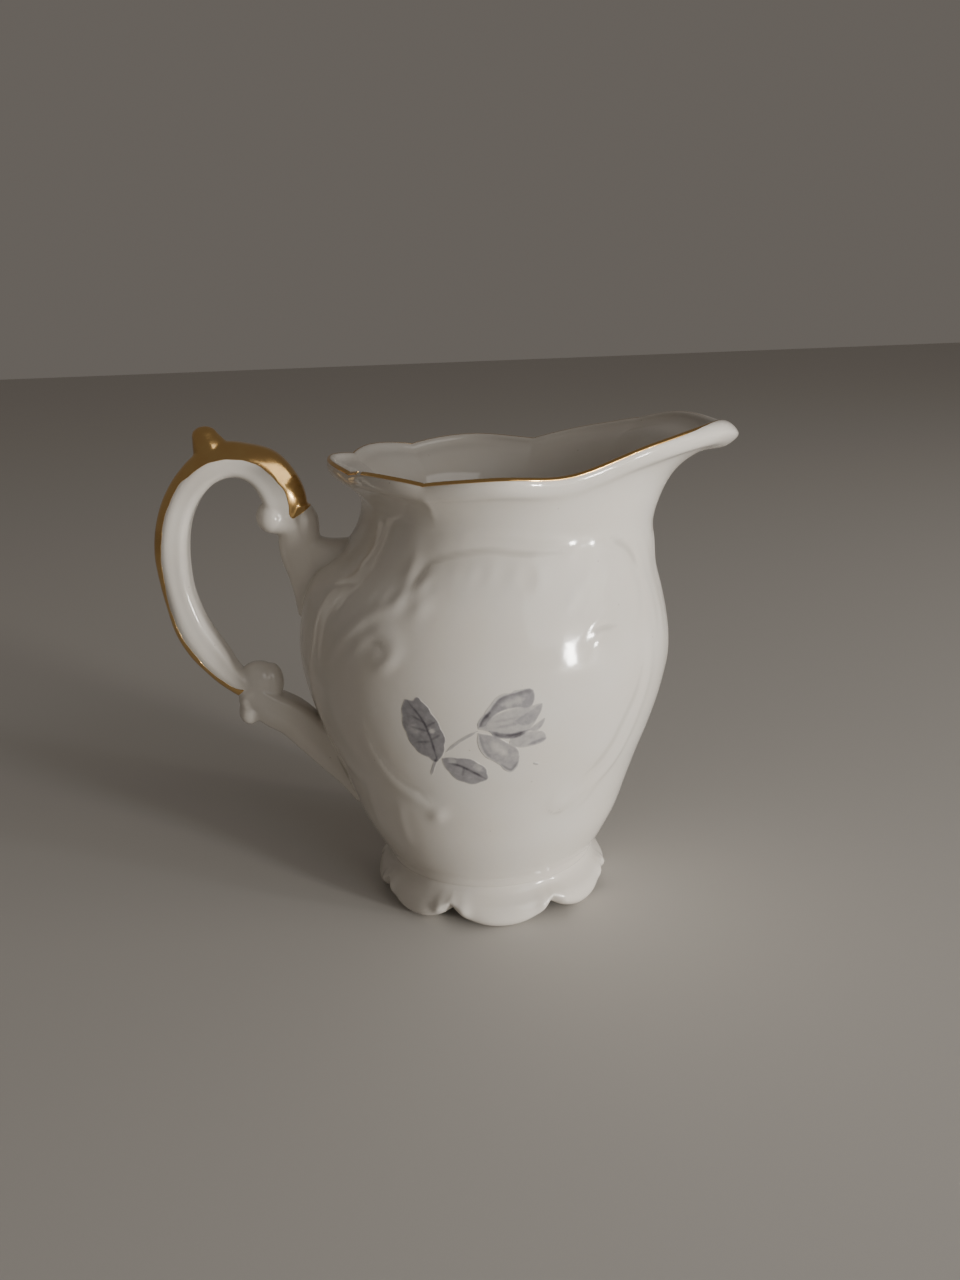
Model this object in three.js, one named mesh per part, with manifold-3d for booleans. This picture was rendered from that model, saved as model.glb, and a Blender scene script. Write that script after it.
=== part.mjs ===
// Porcelain cream jug: a hollow cast vessel with a lobed pouring lip, a scalloped foot,
// a scrolled handle luted on in two places, gilding, and a printed rose on each side.
// Millimetres, +Z up. The vessel's axis is the local z axis, the spout points along +X,
// the handle along -X, and the front along -Y. The finished group is shifted so that its
// origin lies on the table under the middle of its bounding box.

import * as THREE from "three";
import { mergeVertices } from "three/addons/utils/BufferGeometryUtils.js";
import Module from "manifold-3d";

const wasm = await Module();
wasm.setup();

// ---- driving dimensions ----

const TURN_SEGMENTS = 60;      // steps around the vessel
const PIECE_GAP = 0.3;         // clearance between neighbouring pieces
const SLIP_THICKNESS = 0.4;    // dried slip in a luted joint
const GILDING_THICKNESS = 0.3;
const TRANSFER_THICKNESS = 0.25;
const WALL = 2.7;              // fired porcelain wall

const FOOT_HEIGHT = 8.6;
const FOOT_LOBES = 8;
const FOOT_STEPS_PER_LOBE = 8;
const FOOT_LOBE_SPREAD = 4.4;  // degrees by which the front and back lobes are wider
const FOOT_ARCH_HEIGHT = 3.6;  // how high the gap between two lobes reaches
const FOOT_LOBE_BULGE = 1.5;   // how far a lobe stands out past the gaps
const FOOT_RING_OUTER = 22.4;  // radius at the waist above the lobes
const FOOT_RING_INNER = 18.5;
const BODY_BOTTOM = FOOT_HEIGHT + 2 * PIECE_GAP + SLIP_THICKNESS;
const FLOOR_HEIGHT = 12.8;     // inside floor on the axis

// Height and radius of the outside of the belly, from the waist up to the neck.
const BELLY = [
  [BODY_BOTTOM, 22.7], [12.5, 24.6], [20, 28.4], [30, 31.8], [40, 35.6],
  [50, 38.5], [58, 39.3], [66, 38.1], [74, 35.9], [82, 33.7],
];
const SHOULDER_HEIGHT = 70;    // above it the section moves towards the spout
const NECK_HEIGHT = 82;
const NECK_RADIUS = 31.3;
const NECK_SHIFT = 4.95;       // how far the neck's section lies towards the spout
const NECK_OVAL = 0.75;        // how much wider the neck is to the front than along the spout
const NECK_WAIST = 84;         // height of the narrowest place, higher by the handle
const NECK_WAIST_TILT = 4;

// Edge of the mouth: angle from the spout in degrees, radius, height.
const MOUTH = [
  [0, 50.0, 100.5], [20, 47.9, 101.3], [42, 41.0, 97.2], [64, 37.2, 94.9],
  [88, 37.8, 95.0], [111, 35.0, 94.9], [148, 30.2, 95.3], [180, 29.2, 95.6],
];
const LOBE_VALLEYS = [30, 64, 111, 148, 212]; // angles between the lobes of the edge
const LOBE_RADIUS = 0.8;
const LOBE_HEIGHT = 1.0;
const SOFT_LOBE = 0.35;        // share of a full lobe next to the spout
const LIP_ROLL = 1.1;          // reach of the rounded lip past the edge
const SPOUT_NOSE = 3.3;        // extra reach of the lip at the spout's tip
const SPOUT_NOSE_WIDTH = 24;   // degrees
const FRONT_RISE = 2.4;        // how much higher the front edge rises to the spout than the back edge
const RIM_GILDING_WIDTH = 1.0;

// Centre line of the handle's scroll from the top inner end round to the lower end: x, z.
const SCROLL_LINE = [
  [-39.9, 84.6], [-40.0, 88.2], [-41.0, 91.2], [-43.2, 94.2], [-46.4, 96.2], [-50.6, 97.0],
  [-55.2, 95.6], [-58.4, 92.8], [-61.4, 88.4], [-63.2, 83.6], [-64.0, 78.8], [-63.9, 73.6],
  [-63.1, 67.8], [-61.6, 62.6], [-59.3, 57.8], [-56.3, 53.6], [-52.4, 49.6],
];
const SCROLL_DEPTHS = [3.2, 4.2, 4.3, 4.1, 3.6, 3.5, 3.5, 3.3, 3.3, 3.3, 3.3, 3.2, 3.2, 3.4, 3.5, 3.2, 2.2];
const SCROLL_WIDTHS = [2.9, 3.8, 4.1, 4.3, 4.3, 4.3, 4.2, 4.1, 4.1, 4.0, 4.0, 3.9, 3.8, 3.8, 3.7, 3.6, 3.2];

// ---- small helpers ----

const degrees = THREE.MathUtils.degToRad;

// Smooth curve through rows of [x, value, ...], read at one x.
function readRows(rows, x, column = 1) {
  const last = rows.length - 1;
  let k = 0;
  while (k < last - 1 && x > rows[k + 1][0]) k += 1;
  const slope = (i) => {
    const a = rows[Math.max(i - 1, 0)];
    const b = rows[Math.min(i + 1, last)];
    return (b[column] - a[column]) / (b[0] - a[0]);
  };
  const span = rows[k + 1][0] - rows[k][0];
  const t = THREE.MathUtils.clamp((x - rows[k][0]) / span, 0, 1);
  const rise = t * t * (3 - 2 * t);
  const startPull = span * slope(k) * t * (1 - t) * (1 - t);
  const endPull = span * slope(k + 1) * t * t * (1 - t);
  return rows[k][column] * (1 - rise) + rows[k + 1][column] * rise + startPull - endPull;
}

// Point of a quadratic curve, as [radius, height].
function bend(start, middle, end, t) {
  const u = 1 - t;
  return [0, 1].map((i) => u * u * start[i] + 2 * u * t * middle[i] + t * t * end[i]);
}

function signedVolume(geometry) {
  const position = geometry.attributes.position;
  const index = geometry.index;
  const [a, b, c] = [new THREE.Vector3(), new THREE.Vector3(), new THREE.Vector3()];
  let volume = 0;
  for (let i = 0; i < index.count; i += 3) {
    a.fromBufferAttribute(position, index.getX(i));
    b.fromBufferAttribute(position, index.getX(i + 1));
    c.fromBufferAttribute(position, index.getX(i + 2));
    volume += a.dot(b.cross(c)) / 6;
  }
  return volume;
}

// Shared vertices, no zero-area triangles, faces pointing out.
function cleaned(geometry) {
  const bare = geometry.clone();
  bare.deleteAttribute("normal");
  bare.deleteAttribute("uv");
  const merged = mergeVertices(bare, 1e-4);
  const kept = [];
  for (let i = 0; i < merged.index.count; i += 3) {
    const corners = [0, 1, 2].map((k) => merged.index.getX(i + k));
    if (new Set(corners).size === 3) kept.push(...corners);
  }
  merged.setIndex(kept);
  if (signedVolume(merged) < 0) merged.setIndex(kept.reverse());
  return merged;
}

function solidFrom(geometry) {
  const clean = cleaned(geometry);
  return new wasm.Manifold(new wasm.Mesh({
    numProp: 3,
    vertProperties: Float32Array.from(clean.attributes.position.array),
    triVerts: Uint32Array.from(clean.index.array),
  }));
}

function geometryFrom(solid) {
  const mesh = solid.getMesh();
  const geometry = new THREE.BufferGeometry();
  geometry.setAttribute("position", new THREE.BufferAttribute(mesh.vertProperties, 3));
  geometry.setIndex(new THREE.BufferAttribute(mesh.triVerts, 1));
  return geometry;
}

function joined(solids) {
  return solids.reduce((whole, piece) => whole.add(piece));
}

// A turned shape whose section may change with the angle. sectionAt(angle) returns
// [radius, height] points, always the same number of them.
function turned(sectionAt, segments = TURN_SEGMENTS) {
  const first = sectionAt(0).map(([radius, height]) => new THREE.Vector2(radius, height));
  const geometry = new THREE.LatheGeometry(first, segments);
  const position = geometry.attributes.position;
  for (let i = 0; i <= segments; i += 1) {
    const angle = ((i % segments) / segments) * 2 * Math.PI;
    sectionAt(angle).forEach(([radius, height], j) => {
      const reach = Math.max(radius, 0);
      const index = i * first.length + j;
      position.setXYZ(index, reach * Math.cos(angle), reach * Math.sin(angle), height);
    });
  }
  return cleaned(geometry);
}

// A bar that follows a line in the xz plane. depths are its half sizes across the line in
// that plane and widths its half sizes along y; both lists are spread evenly on the line.
function bentBar({ line, depths, widths, sides = 12, steps = 24, squareness = 1, grow = 0, shift = 0 }) {
  const path = new THREE.CatmullRomCurve3(line.map(([x, z]) => new THREE.Vector3(x, 0, z)));
  const geometry = new THREE.CylinderGeometry(1, 1, 1, sides, steps);
  const position = geometry.attributes.position;
  const asRows = (list) => list.map((value, i) => [i / (list.length - 1), value]);
  const [depthRows, widthRows] = [asRows(depths), asRows(widths)];
  const round = (value) => Math.sign(value) * Math.abs(value) ** squareness;
  for (let i = 0; i < position.count; i += 1) {
    const t = position.getY(i) + 0.5;
    const centre = path.getPoint(t);
    const tangent = path.getTangent(t);
    const across = new THREE.Vector3(-tangent.z, 0, tangent.x);
    const end = t < 0.5 ? -1 : 1;
    const atEnd = t < 1e-6 || t > 1 - 1e-6;
    const depth = (readRows(depthRows, t) + grow) * round(position.getX(i)) + shift;
    const width = (readRows(widthRows, t) + grow) * round(position.getZ(i));
    centre.addScaledVector(across, depth);
    if (atEnd) centre.addScaledVector(tangent, end * grow);
    position.setXYZ(i, centre.x, width, centre.z);
  }
  return solidFrom(geometry);
}

function ball([x, z], [rx, ry, rz], detail = 12) {
  const geometry = new THREE.SphereGeometry(1, detail, detail / 2);
  geometry.scale(rx, ry, rz);
  geometry.translate(x, 0, z);
  return solidFrom(geometry);
}

// ---- the vessel's surface ----

// Degrees from the spout, 0 to 180, the same on both sides.
function angleFromSpout(angle) {
  const turnedBy = THREE.MathUtils.euclideanModulo(THREE.MathUtils.radToDeg(angle), 360);
  return Math.min(turnedBy, 360 - turnedBy);
}

// 0 in the valleys between the lobes of the mouth's edge and 1 at each lobe's middle.
function lobe(angle) {
  const degree = angleFromSpout(angle);
  if (degree <= LOBE_VALLEYS[0]) return 0;
  const next = LOBE_VALLEYS.findIndex((valley) => degree <= valley);
  const [from, to] = [LOBE_VALLEYS[next - 1], LOBE_VALLEYS[next]];
  const full = next === 1 ? SOFT_LOBE : 1;
  return full * Math.sin((Math.PI * (degree - from)) / (to - from)) ** 0.8;
}

// 1 where the front edge climbs to the spout, 0 elsewhere.
function frontClimb(angle) {
  const side = THREE.MathUtils.smoothstep(-Math.sin(angle), 0, 0.35);
  return side * Math.exp(-(((angleFromSpout(angle) - 44) / 22) ** 2));
}

function mouthEdge(angle) {
  const degree = angleFromSpout(angle);
  return {
    radius: readRows(MOUTH, degree) + LOBE_RADIUS * lobe(angle),
    height: readRows(MOUTH, degree, 2) + LOBE_HEIGHT * lobe(angle) + FRONT_RISE * frontClimb(angle),
    nose: Math.exp(-((degree / SPOUT_NOSE_WIDTH) ** 2)),
  };
}

function neckRadius(angle) {
  return NECK_RADIUS + NECK_SHIFT * Math.cos(angle) - NECK_OVAL * Math.cos(2 * angle);
}

function waistHeight(angle) {
  return NECK_WAIST - NECK_WAIST_TILT * Math.cos(angle);
}

// Outside radius between the waist and the neck.
function bellyRadius(angle, height) {
  const lean = THREE.MathUtils.smoothstep(height, SHOULDER_HEIGHT, NECK_HEIGHT);
  const neckPush = neckRadius(angle) - readRows(BELLY, NECK_HEIGHT);
  return readRows(BELLY, height) + neckPush * lean - 0.15 * Math.max(height - NECK_HEIGHT, 0);
}

const BELLY_HEIGHTS = [BODY_BOTTOM, 12.5, 16, 20, 26, 33, 40, 47, 53, 58, 63, 68, 73, 78];
const FLARE_STEPS = [0, 0.25, 0.5, 0.75, 1];

// Outside of the vessel from the waist to the lip's shoulder, pushed out by grow.
function outerWall(angle, grow = 0) {
  const edge = mouthEdge(angle);
  const reach = edge.radius + LIP_ROLL + SPOUT_NOSE * edge.nose;
  const waist = waistHeight(angle);
  const neck = [bellyRadius(angle, waist) + grow, waist];
  const pull = [neck[0] + 0.12 * (edge.radius - neckRadius(angle)), edge.height - 6];
  const shoulder = [reach - 1 * edge.nose - 0.2 + grow, edge.height - 2.6 - 1.6 * edge.nose];
  const heights = [...BELLY_HEIGHTS, (BELLY_HEIGHTS.at(-1) + waist) / 2];
  return [
    ...heights.map((height) => [bellyRadius(angle, height) + grow, height]),
    ...FLARE_STEPS.map((t) => bend(neck, pull, shoulder, t)),
  ];
}

// The rounded lip from its outside to the inner edge, seen in section.
function lipSection(angle) {
  const { radius, height, nose } = mouthEdge(angle);
  const reach = LIP_ROLL + SPOUT_NOSE * nose;
  const top = height - GILDING_THICKNESS - PIECE_GAP;
  return [
    [radius + reach, height - 1.6 - 1.4 * nose],
    [radius + 0.7 * reach, height - 0.9 - 0.5 * nose],
    [radius + 0.5, top],
    [radius - 0.5, top],
    [radius - 1.3, height - 1.5],
  ];
}

// Inside of the vessel from the lip down to the middle of the floor.
function innerWall(angle) {
  const { radius, height } = mouthEdge(angle);
  const waist = waistHeight(angle);
  const neck = [bellyRadius(angle, waist) - WALL, waist];
  const pull = [neck[0] + 0.1 * (radius - neckRadius(angle)), height - 4.6];
  const lip = [radius - 1.3, height - 1.5];
  const flare = [0.75, 0.5, 0.25, 0].map((t) => bend(neck, pull, lip, t));
  const heights = [(waist + 76) / 2, 76, 70, 64, 58, 50, 42, 34, 28];
  const belly = heights.map((z) => [bellyRadius(angle, z) - WALL, z]);
  const [floorReach, floorTop] = [bellyRadius(angle, 23) - WALL, 23];
  const bowl = [0, 20, 42, 64, 90].map((degree) => {
    const side = Math.cos(degrees(degree));
    const drop = Math.sin(degrees(degree)) ** 0.85;
    const out = degree === 90 ? 0 : floorReach * side ** 0.7;
    return [out, floorTop - (floorTop - FLOOR_HEIGHT) * drop];
  });
  return [...flare, ...belly, ...bowl];
}

function bodyShell() {
  const section = (angle) => [
    [0, BODY_BOTTOM],
    ...outerWall(angle),
    ...lipSection(angle),
    ...innerWall(angle),
  ];
  return turned(section);
}

// The vessel filled solid and pushed out by grow, for cutting what meets it.
function grownBody(grow) {
  const section = (angle) => {
    const wall = outerWall(angle, grow);
    return [[0, BODY_BOTTOM - grow], [wall[0][0], BODY_BOTTOM - grow], ...wall, [0, 101]];
  };
  return solidFrom(turned(section));
}

// ---- the foot ----

// Across a lobe: 0 in its middle and 1 in the gap beside it.
function acrossLobe(angle) {
  const spread = angle + degrees(FOOT_LOBE_SPREAD) * Math.sin(2 * angle);
  const lobes = (spread / (2 * Math.PI)) * FOOT_LOBES;
  return 2 * Math.abs(lobes - Math.round(lobes));
}

// Outside and inside of the foot in the middle of a lobe: radius, height.
const FOOT_SECTION = [
  [FOOT_RING_OUTER, FOOT_HEIGHT], [22.6, 7.4], [23.7, 6.2], [25.0, 5.0], [25.6, 3.4],
  [25.4, 1.7], [24.6, 0.5], [23.6, 0], [20.9, 0], [20.0, 0.7], [19.2, 2.4],
  [18.7, 5.0], [FOOT_RING_INNER, FOOT_HEIGHT], [FOOT_RING_OUTER, FOOT_HEIGHT],
];

function footRing() {
  const section = (angle) => {
    const across = acrossLobe(angle);
    const lift = FOOT_ARCH_HEIGHT * (Math.max(across - 0.36, 0) / 0.64) ** 1.7;
    const draw = FOOT_LOBE_BULGE * across ** 3;
    return FOOT_SECTION.map(([radius, height]) => {
      const low = 1 - height / FOOT_HEIGHT;
      const out = radius > FOOT_RING_OUTER ? 1 : 0;
      return [radius - draw * out * (radius - FOOT_RING_OUTER) / 3, height + lift * low];
    });
  };
  return turned(section, FOOT_LOBES * FOOT_STEPS_PER_LOBE);
}

function footSlipJoint() {
  const bottom = FOOT_HEIGHT + PIECE_GAP;
  const [inner, outer] = [FOOT_RING_INNER + 0.4, FOOT_RING_OUTER - 0.2];
  const section = () => [
    [outer, bottom], [outer, bottom + SLIP_THICKNESS],
    [inner, bottom + SLIP_THICKNESS], [inner, bottom], [outer, bottom],
  ];
  return turned(section);
}

// ---- the handle ----

const scroll = { line: SCROLL_LINE, depths: SCROLL_DEPTHS, widths: SCROLL_WIDTHS, squareness: 0.8 };
const spur = {
  line: [[-53.6, 98], [-54.2, 100.3], [-54.9, 102.2], [-55.1, 103.7]],
  depths: [3.6, 2.9, 1.8, 0.9],
  widths: [3.4, 2.6, 1.9, 1.1],
  sides: 10,
  steps: 5,
};

// The leaf that runs down the neck from the scroll's upper end.
function upperTerminal() {
  return joined([
    bentBar({
      line: [[-38.4, 86.4], [-37.0, 82], [-36.8, 77], [-36.8, 72], [-37.2, 67]],
      depths: [2.2, 5.0, 4.7, 3.4, 1.4],
      widths: [2.8, 3.9, 3.6, 2.8, 1.4],
      steps: 10,
    }),
    bentBar({ line: [[-38, 80.4], [-33, 77.6], [-25, 76.4]], depths: [3.0, 2.6, 3.2], widths: [3, 3.8, 4.2], steps: 4 }),
    bentBar({ line: [[-43.6, 84.0], [-37, 82.4]], depths: [2.2, 3.0], widths: [3.0, 3.6], steps: 3 }),
    ball([-43.9, 83.8], [2.4, 4.0, 2.6]),
  ]);
}

// The strut that carries the scroll's lower end down on to the belly, with its leaf and volute.
function lowerTerminal() {
  return joined([
    bentBar({
      line: [[-50.5, 46.5], [-46.5, 43.6], [-41.5, 40.6], [-36.5, 35.5], [-31.5, 28.5], [-26.5, 19.5]],
      depths: [2.8, 3.6, 4.2, 4.2, 3.0, 1.4],
      widths: [3.3, 3.7, 3.6, 3.3, 2.8, 1.6],
      steps: 14,
      squareness: 0.85,
    }),
    ball([-47.6, 50.4], [3.6, 3.7, 3.7]),
    ball([-50.8, 50.6], [2.4, 3.5, 2.6]),
    ball([-51.4, 42.4], [1.9, 3.6, 2.3]),
  ]);
}

const slipGap = PIECE_GAP + SLIP_THICKNESS;
const handleCut = grownBody(slipGap + PIECE_GAP);
const slipOuter = grownBody(slipGap);
const slipInner = grownBody(PIECE_GAP);

function handle() {
  return joined([bentBar(scroll), bentBar(spur), upperTerminal(), lowerTerminal()]).subtract(handleCut);
}

function slipJoint(terminal) {
  return terminal.intersect(slipOuter).subtract(slipInner);
}

// ---- gilding and transfers ----

function rimGilding() {
  const section = (angle) => {
    const { radius, height } = mouthEdge(angle);
    const [out, inside] = [radius + RIM_GILDING_WIDTH / 2, radius - RIM_GILDING_WIDTH / 2];
    const under = height - GILDING_THICKNESS;
    return [[out, under], [out, height - 0.05], [radius, height], [inside, height - 0.05], [inside, under], [out, under]];
  };
  return turned(section);
}

// A thin coat over the crown of the scroll and the whole thumb spur.
function handleGilding() {
  const near = PIECE_GAP;
  const far = PIECE_GAP + GILDING_THICKNESS;
  const coat = joined([bentBar({ ...scroll, grow: far }), bentBar({ ...spur, grow: far })]);
  const inside = joined([bentBar({ ...scroll, grow: near }), bentBar({ ...spur, grow: near })]);
  const crown = bentBar({ ...scroll, grow: 2, shift: -6.3 });
  const tip = ball([-54.6, 102.4], [6, 6, 4.5]);
  const ends = joined([upperTerminal(), lowerTerminal()]);
  const clear = joined([ball([-36.8, 83], [4.6, 7, 4.6]), ball([-51.0, 46.4], [3.0, 7, 3.0])]);
  return coat.subtract(inside).intersect(crown.add(tip)).subtract(ends).subtract(clear);
}

// A leaf or petal outline from its base to its tip, swept through the front of the vessel.
function leaf({ base, tip, width, belly = 0.5 }) {
  const length = Math.hypot(tip[0] - base[0], tip[1] - base[1]);
  const shape = new THREE.Shape();
  const [near, far, side] = [length * belly * 0.5, length * (0.5 + belly * 0.5), width * 0.67];
  shape.moveTo(0, 0);
  shape.bezierCurveTo(near, side, far, side, length, 0);
  shape.bezierCurveTo(far, -side, near, -side, 0, 0);
  const geometry = new THREE.ExtrudeGeometry(shape, { depth: 40, bevelEnabled: false, curveSegments: 5 });
  geometry.rotateZ(Math.atan2(tip[1] - base[1], tip[0] - base[0]));
  geometry.rotateX(Math.PI / 2);
  geometry.translate(base[0], 0, base[1]);
  return solidFrom(geometry);
}

// Leaves, stem and petals of the printed rose: x across the front, z up.
const ROSE_PRINT = [
  { base: [-13.4, 41.2], tip: [-17.8, 56.4], width: 6.4 },
  { base: [-12.6, 42.6], tip: [-3.6, 37.8], width: 4.6 },
  { base: [-14.6, 40.8], tip: [-4.0, 49.4], width: 1.2 },
  { base: [-5.2, 48.2], tip: [5.4, 57.2], width: 5.0 },
  { base: [-5.2, 48.4], tip: [8.2, 51.8], width: 6.4 },
  { base: [-4.6, 48.6], tip: [8.2, 45.2], width: 5.0 },
  { base: [-4.6, 48.8], tip: [1.6, 40.2], width: 4.6 },
  { base: [-15.2, 38.6], tip: [-13.2, 42.6], width: 1.3 },
];

// A thin curved slab that lies just off the front of the belly.
function frontPatch() {
  const [fromAngle, toAngle, fromHeight, toHeight] = [degrees(-32), degrees(17), 35.5, 59.5];
  const geometry = new THREE.BoxGeometry(1, 1, 1, 10, 6, 1);
  const position = geometry.attributes.position;
  for (let i = 0; i < position.count; i += 1) {
    const height = THREE.MathUtils.lerp(fromHeight, toHeight, position.getY(i) + 0.5);
    const turn = THREE.MathUtils.lerp(fromAngle, toAngle, position.getX(i) + 0.5) - Math.PI / 2;
    const lift = PIECE_GAP + TRANSFER_THICKNESS * (position.getZ(i) + 0.5);
    const radius = bellyRadius(turn, height) + lift;
    position.setXYZ(i, radius * Math.cos(turn), radius * Math.sin(turn), height);
  }
  return solidFrom(geometry);
}

function roseTransfer() {
  const print = joined(ROSE_PRINT.map((outline) => leaf(outline)));
  return geometryFrom(frontPatch().intersect(print));
}

// ---- materials ----

function porcelain() {
  return new THREE.MeshStandardMaterial({ color: 0xe9e2d6, roughness: 0.12, metalness: 0 });
}

function bareSlip() {
  return new THREE.MeshStandardMaterial({ color: 0xe2dacb, roughness: 0.35, metalness: 0 });
}

function brightGold() {
  return new THREE.MeshStandardMaterial({ color: 0xb98a44, roughness: 0.22, metalness: 1 });
}

function greyPrint() {
  return new THREE.MeshStandardMaterial({ color: 0x8d8c96, roughness: 0.2, metalness: 0 });
}

// ---- assembly ----

const jug = new THREE.Group();

function addPiece(name, geometry, material) {
  const mesh = new THREE.Mesh(geometry, material);
  mesh.name = name;
  jug.add(mesh);
  return mesh;
}

addPiece("body_shell", bodyShell(), porcelain());
addPiece("foot_ring", footRing(), porcelain());
addPiece("foot_slip_joint", footSlipJoint(), bareSlip());
addPiece("handle", geometryFrom(handle()), porcelain());
addPiece("handle_slip_joint_upper", geometryFrom(slipJoint(upperTerminal())), bareSlip());
addPiece("handle_slip_joint_lower", geometryFrom(slipJoint(lowerTerminal())), bareSlip());
addPiece("rim_gilding", rimGilding(), brightGold());
addPiece("handle_gilding", geometryFrom(handleGilding()), brightGold());
addPiece("rose_transfer_front", roseTransfer(), greyPrint());
addPiece("rose_transfer_back", roseTransfer(), greyPrint()).rotation.z = Math.PI;

jug.updateMatrixWorld(true);
const extent = new THREE.Box3().setFromObject(jug, true);
jug.position.x = -(extent.min.x + extent.max.x) / 2;

export default jug;
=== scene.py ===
"""Porcelain cream jug: the finished surfaces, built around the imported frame."""

import math
from functools import partial

import bpy
import numpy as np
from mathutils import Matrix, Vector


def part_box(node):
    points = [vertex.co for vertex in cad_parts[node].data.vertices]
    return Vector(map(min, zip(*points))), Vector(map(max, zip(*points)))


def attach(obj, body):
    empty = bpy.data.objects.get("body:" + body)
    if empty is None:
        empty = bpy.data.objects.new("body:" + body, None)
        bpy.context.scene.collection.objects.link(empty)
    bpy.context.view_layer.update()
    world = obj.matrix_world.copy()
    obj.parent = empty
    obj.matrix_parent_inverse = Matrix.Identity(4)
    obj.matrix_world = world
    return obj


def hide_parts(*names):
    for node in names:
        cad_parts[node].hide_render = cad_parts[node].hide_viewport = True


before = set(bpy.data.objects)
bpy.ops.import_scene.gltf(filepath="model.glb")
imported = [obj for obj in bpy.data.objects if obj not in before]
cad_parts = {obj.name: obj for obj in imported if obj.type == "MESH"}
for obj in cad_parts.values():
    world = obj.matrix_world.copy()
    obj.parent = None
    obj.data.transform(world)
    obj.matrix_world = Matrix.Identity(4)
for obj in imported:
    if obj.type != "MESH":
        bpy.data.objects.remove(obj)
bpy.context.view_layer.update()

bl_info = {
    "name": "Porcelain cream jug",
    "version": (1, 0, 0),
    "blender": (4, 5, 0),
    "location": "3D View > Sidebar > Cream jug",
    "description": "Makes a footed porcelain cream jug with relief, gilding and a printed rose",
    "category": "Add Mesh",
}

MM = 0.001
BODY = "root"

FOOT_LOW, FOOT_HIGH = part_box("foot_ring")
AXIS_X = ((FOOT_LOW + FOOT_HIGH) / 2).x / MM
FOOT_HEIGHT = FOOT_HIGH.z / MM

# ---------------------------------------------------------------------------
# Shape rules of the vessel, in millimetres from its axis
# ---------------------------------------------------------------------------

BODY_BOTTOM = FOOT_HEIGHT + 0.1
NECK_HEIGHT = 82.0
SHOULDER_HEIGHT = 70.0
NECK_RADIUS = 31.3
NECK_SHIFT = 4.95  # how far the neck lies towards the spout
NECK_OVAL = 0.75
NECK_WAIST = 84.0  # height of the neck's narrowest place, higher by the handle
NECK_WAIST_TILT = 4.0
NECK_TAPER = 0.15  # how fast the belly's rule narrows above the neck
BELLY_GIRTH = 38.2  # radius on which the ornament's degrees are laid out

# Height and radius of the outside of the belly, from the waist up to the neck.
BELLY = np.array([
    (9.6, 22.7), (12.5, 24.6), (20, 28.4), (30, 31.8), (40, 35.6),
    (50, 38.5), (58, 39.3), (66, 38.1), (74, 35.9), (82, 33.7),
])
# Edge of the mouth: degrees from the spout, radius, height.
MOUTH = np.array([
    (0, 50.0, 100.5), (20, 47.9, 101.3), (42, 41.0, 97.2), (64, 37.2, 94.9),
    (88, 37.8, 95.0), (111, 35.0, 94.9), (148, 30.2, 95.3), (180, 29.2, 95.6),
])
LOBE_VALLEYS = (30, 64, 111, 148, 212)  # degrees from the spout
CLIMB_MIDDLE = 44.0  # degrees from the spout at which the front edge stands highest over the back
CLIMB_WIDTH = 22.0
LIP_ROLL = 0.85
SPOUT_NOSE = 3.3  # how much further the edge rolls out at the tip of the spout
SPOUT_NOSE_WIDTH = 24.0


def read_rows(rows, x, column=1):
    """Smooth curve through rows of (x, value, ...), read at every x."""
    x = np.asarray(x, float)
    at, value = rows[:, 0], rows[:, column]
    slope = np.empty(len(rows))
    slope[1:-1] = (value[2:] - value[:-2]) / (at[2:] - at[:-2])
    slope[0] = (value[1] - value[0]) / (at[1] - at[0])
    slope[-1] = (value[-1] - value[-2]) / (at[-1] - at[-2])
    k = np.clip(np.searchsorted(at, x, side="right") - 1, 0, len(rows) - 2)
    span = at[k + 1] - at[k]
    t = np.clip((x - at[k]) / span, 0, 1)
    rise = t * t * (3 - 2 * t)
    pull = span * (slope[k] * t * (1 - t) ** 2 - slope[k + 1] * t * t * (1 - t))
    return value[k] * (1 - rise) + value[k + 1] * rise + pull


def smoothstep(x, low, high):
    t = np.clip((np.asarray(x, float) - low) / (high - low), 0, 1)
    return t * t * (3 - 2 * t)


def from_spout(degrees):
    """0 at the spout to 180 at the handle, the same on both sides."""
    around = np.mod(degrees, 360.0)
    return np.minimum(around, 360.0 - around)


def front_side(degrees):
    """1 on the side that faces the front, 0 on the back."""
    return smoothstep(-np.sin(np.radians(degrees)), 0, 0.35)


def edge_lobe(degrees):
    """0 in the valleys between the lobes of the mouth's edge, 1 at each lobe's middle."""
    away = from_spout(degrees)
    valleys = np.array(LOBE_VALLEYS, float)
    k = np.clip(np.searchsorted(valleys, away, side="left") - 1, 0, len(valleys) - 2)
    share = np.clip((away - valleys[k]) / (valleys[k + 1] - valleys[k]), 0, 1)
    lobe = np.where(away > valleys[0], np.abs(np.sin(math.pi * share)) ** 0.8, 0.0)
    smooth_start = np.where(k == 0, 0, smoothstep(share, 0, 0.6))
    kept = np.where(k <= 1, smooth_start, 1)
    return lobe * (1 - front_side(degrees) * (1 - kept))


def mouth_edge(degrees, sizes):
    """Radius and height of the mouth's edge, and how far into the spout's nose it is."""
    away = from_spout(degrees)
    lobe = edge_lobe(degrees)
    radius = read_rows(MOUTH, away) + sizes.lobe_reach / MM * lobe ** 1.6
    climb = np.exp(-(((away - CLIMB_MIDDLE) / CLIMB_WIDTH) ** 2))
    climb = sizes.front_rise / MM * front_side(degrees) * climb
    height = read_rows(MOUTH, away, 2) + sizes.lobe_rise / MM * lobe + climb
    return radius, height, np.exp(-((away / SPOUT_NOSE_WIDTH) ** 2))


def neck_radius(degrees):
    angle = np.radians(degrees)
    return NECK_RADIUS + NECK_SHIFT * np.cos(angle) - NECK_OVAL * np.cos(2 * angle)


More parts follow.
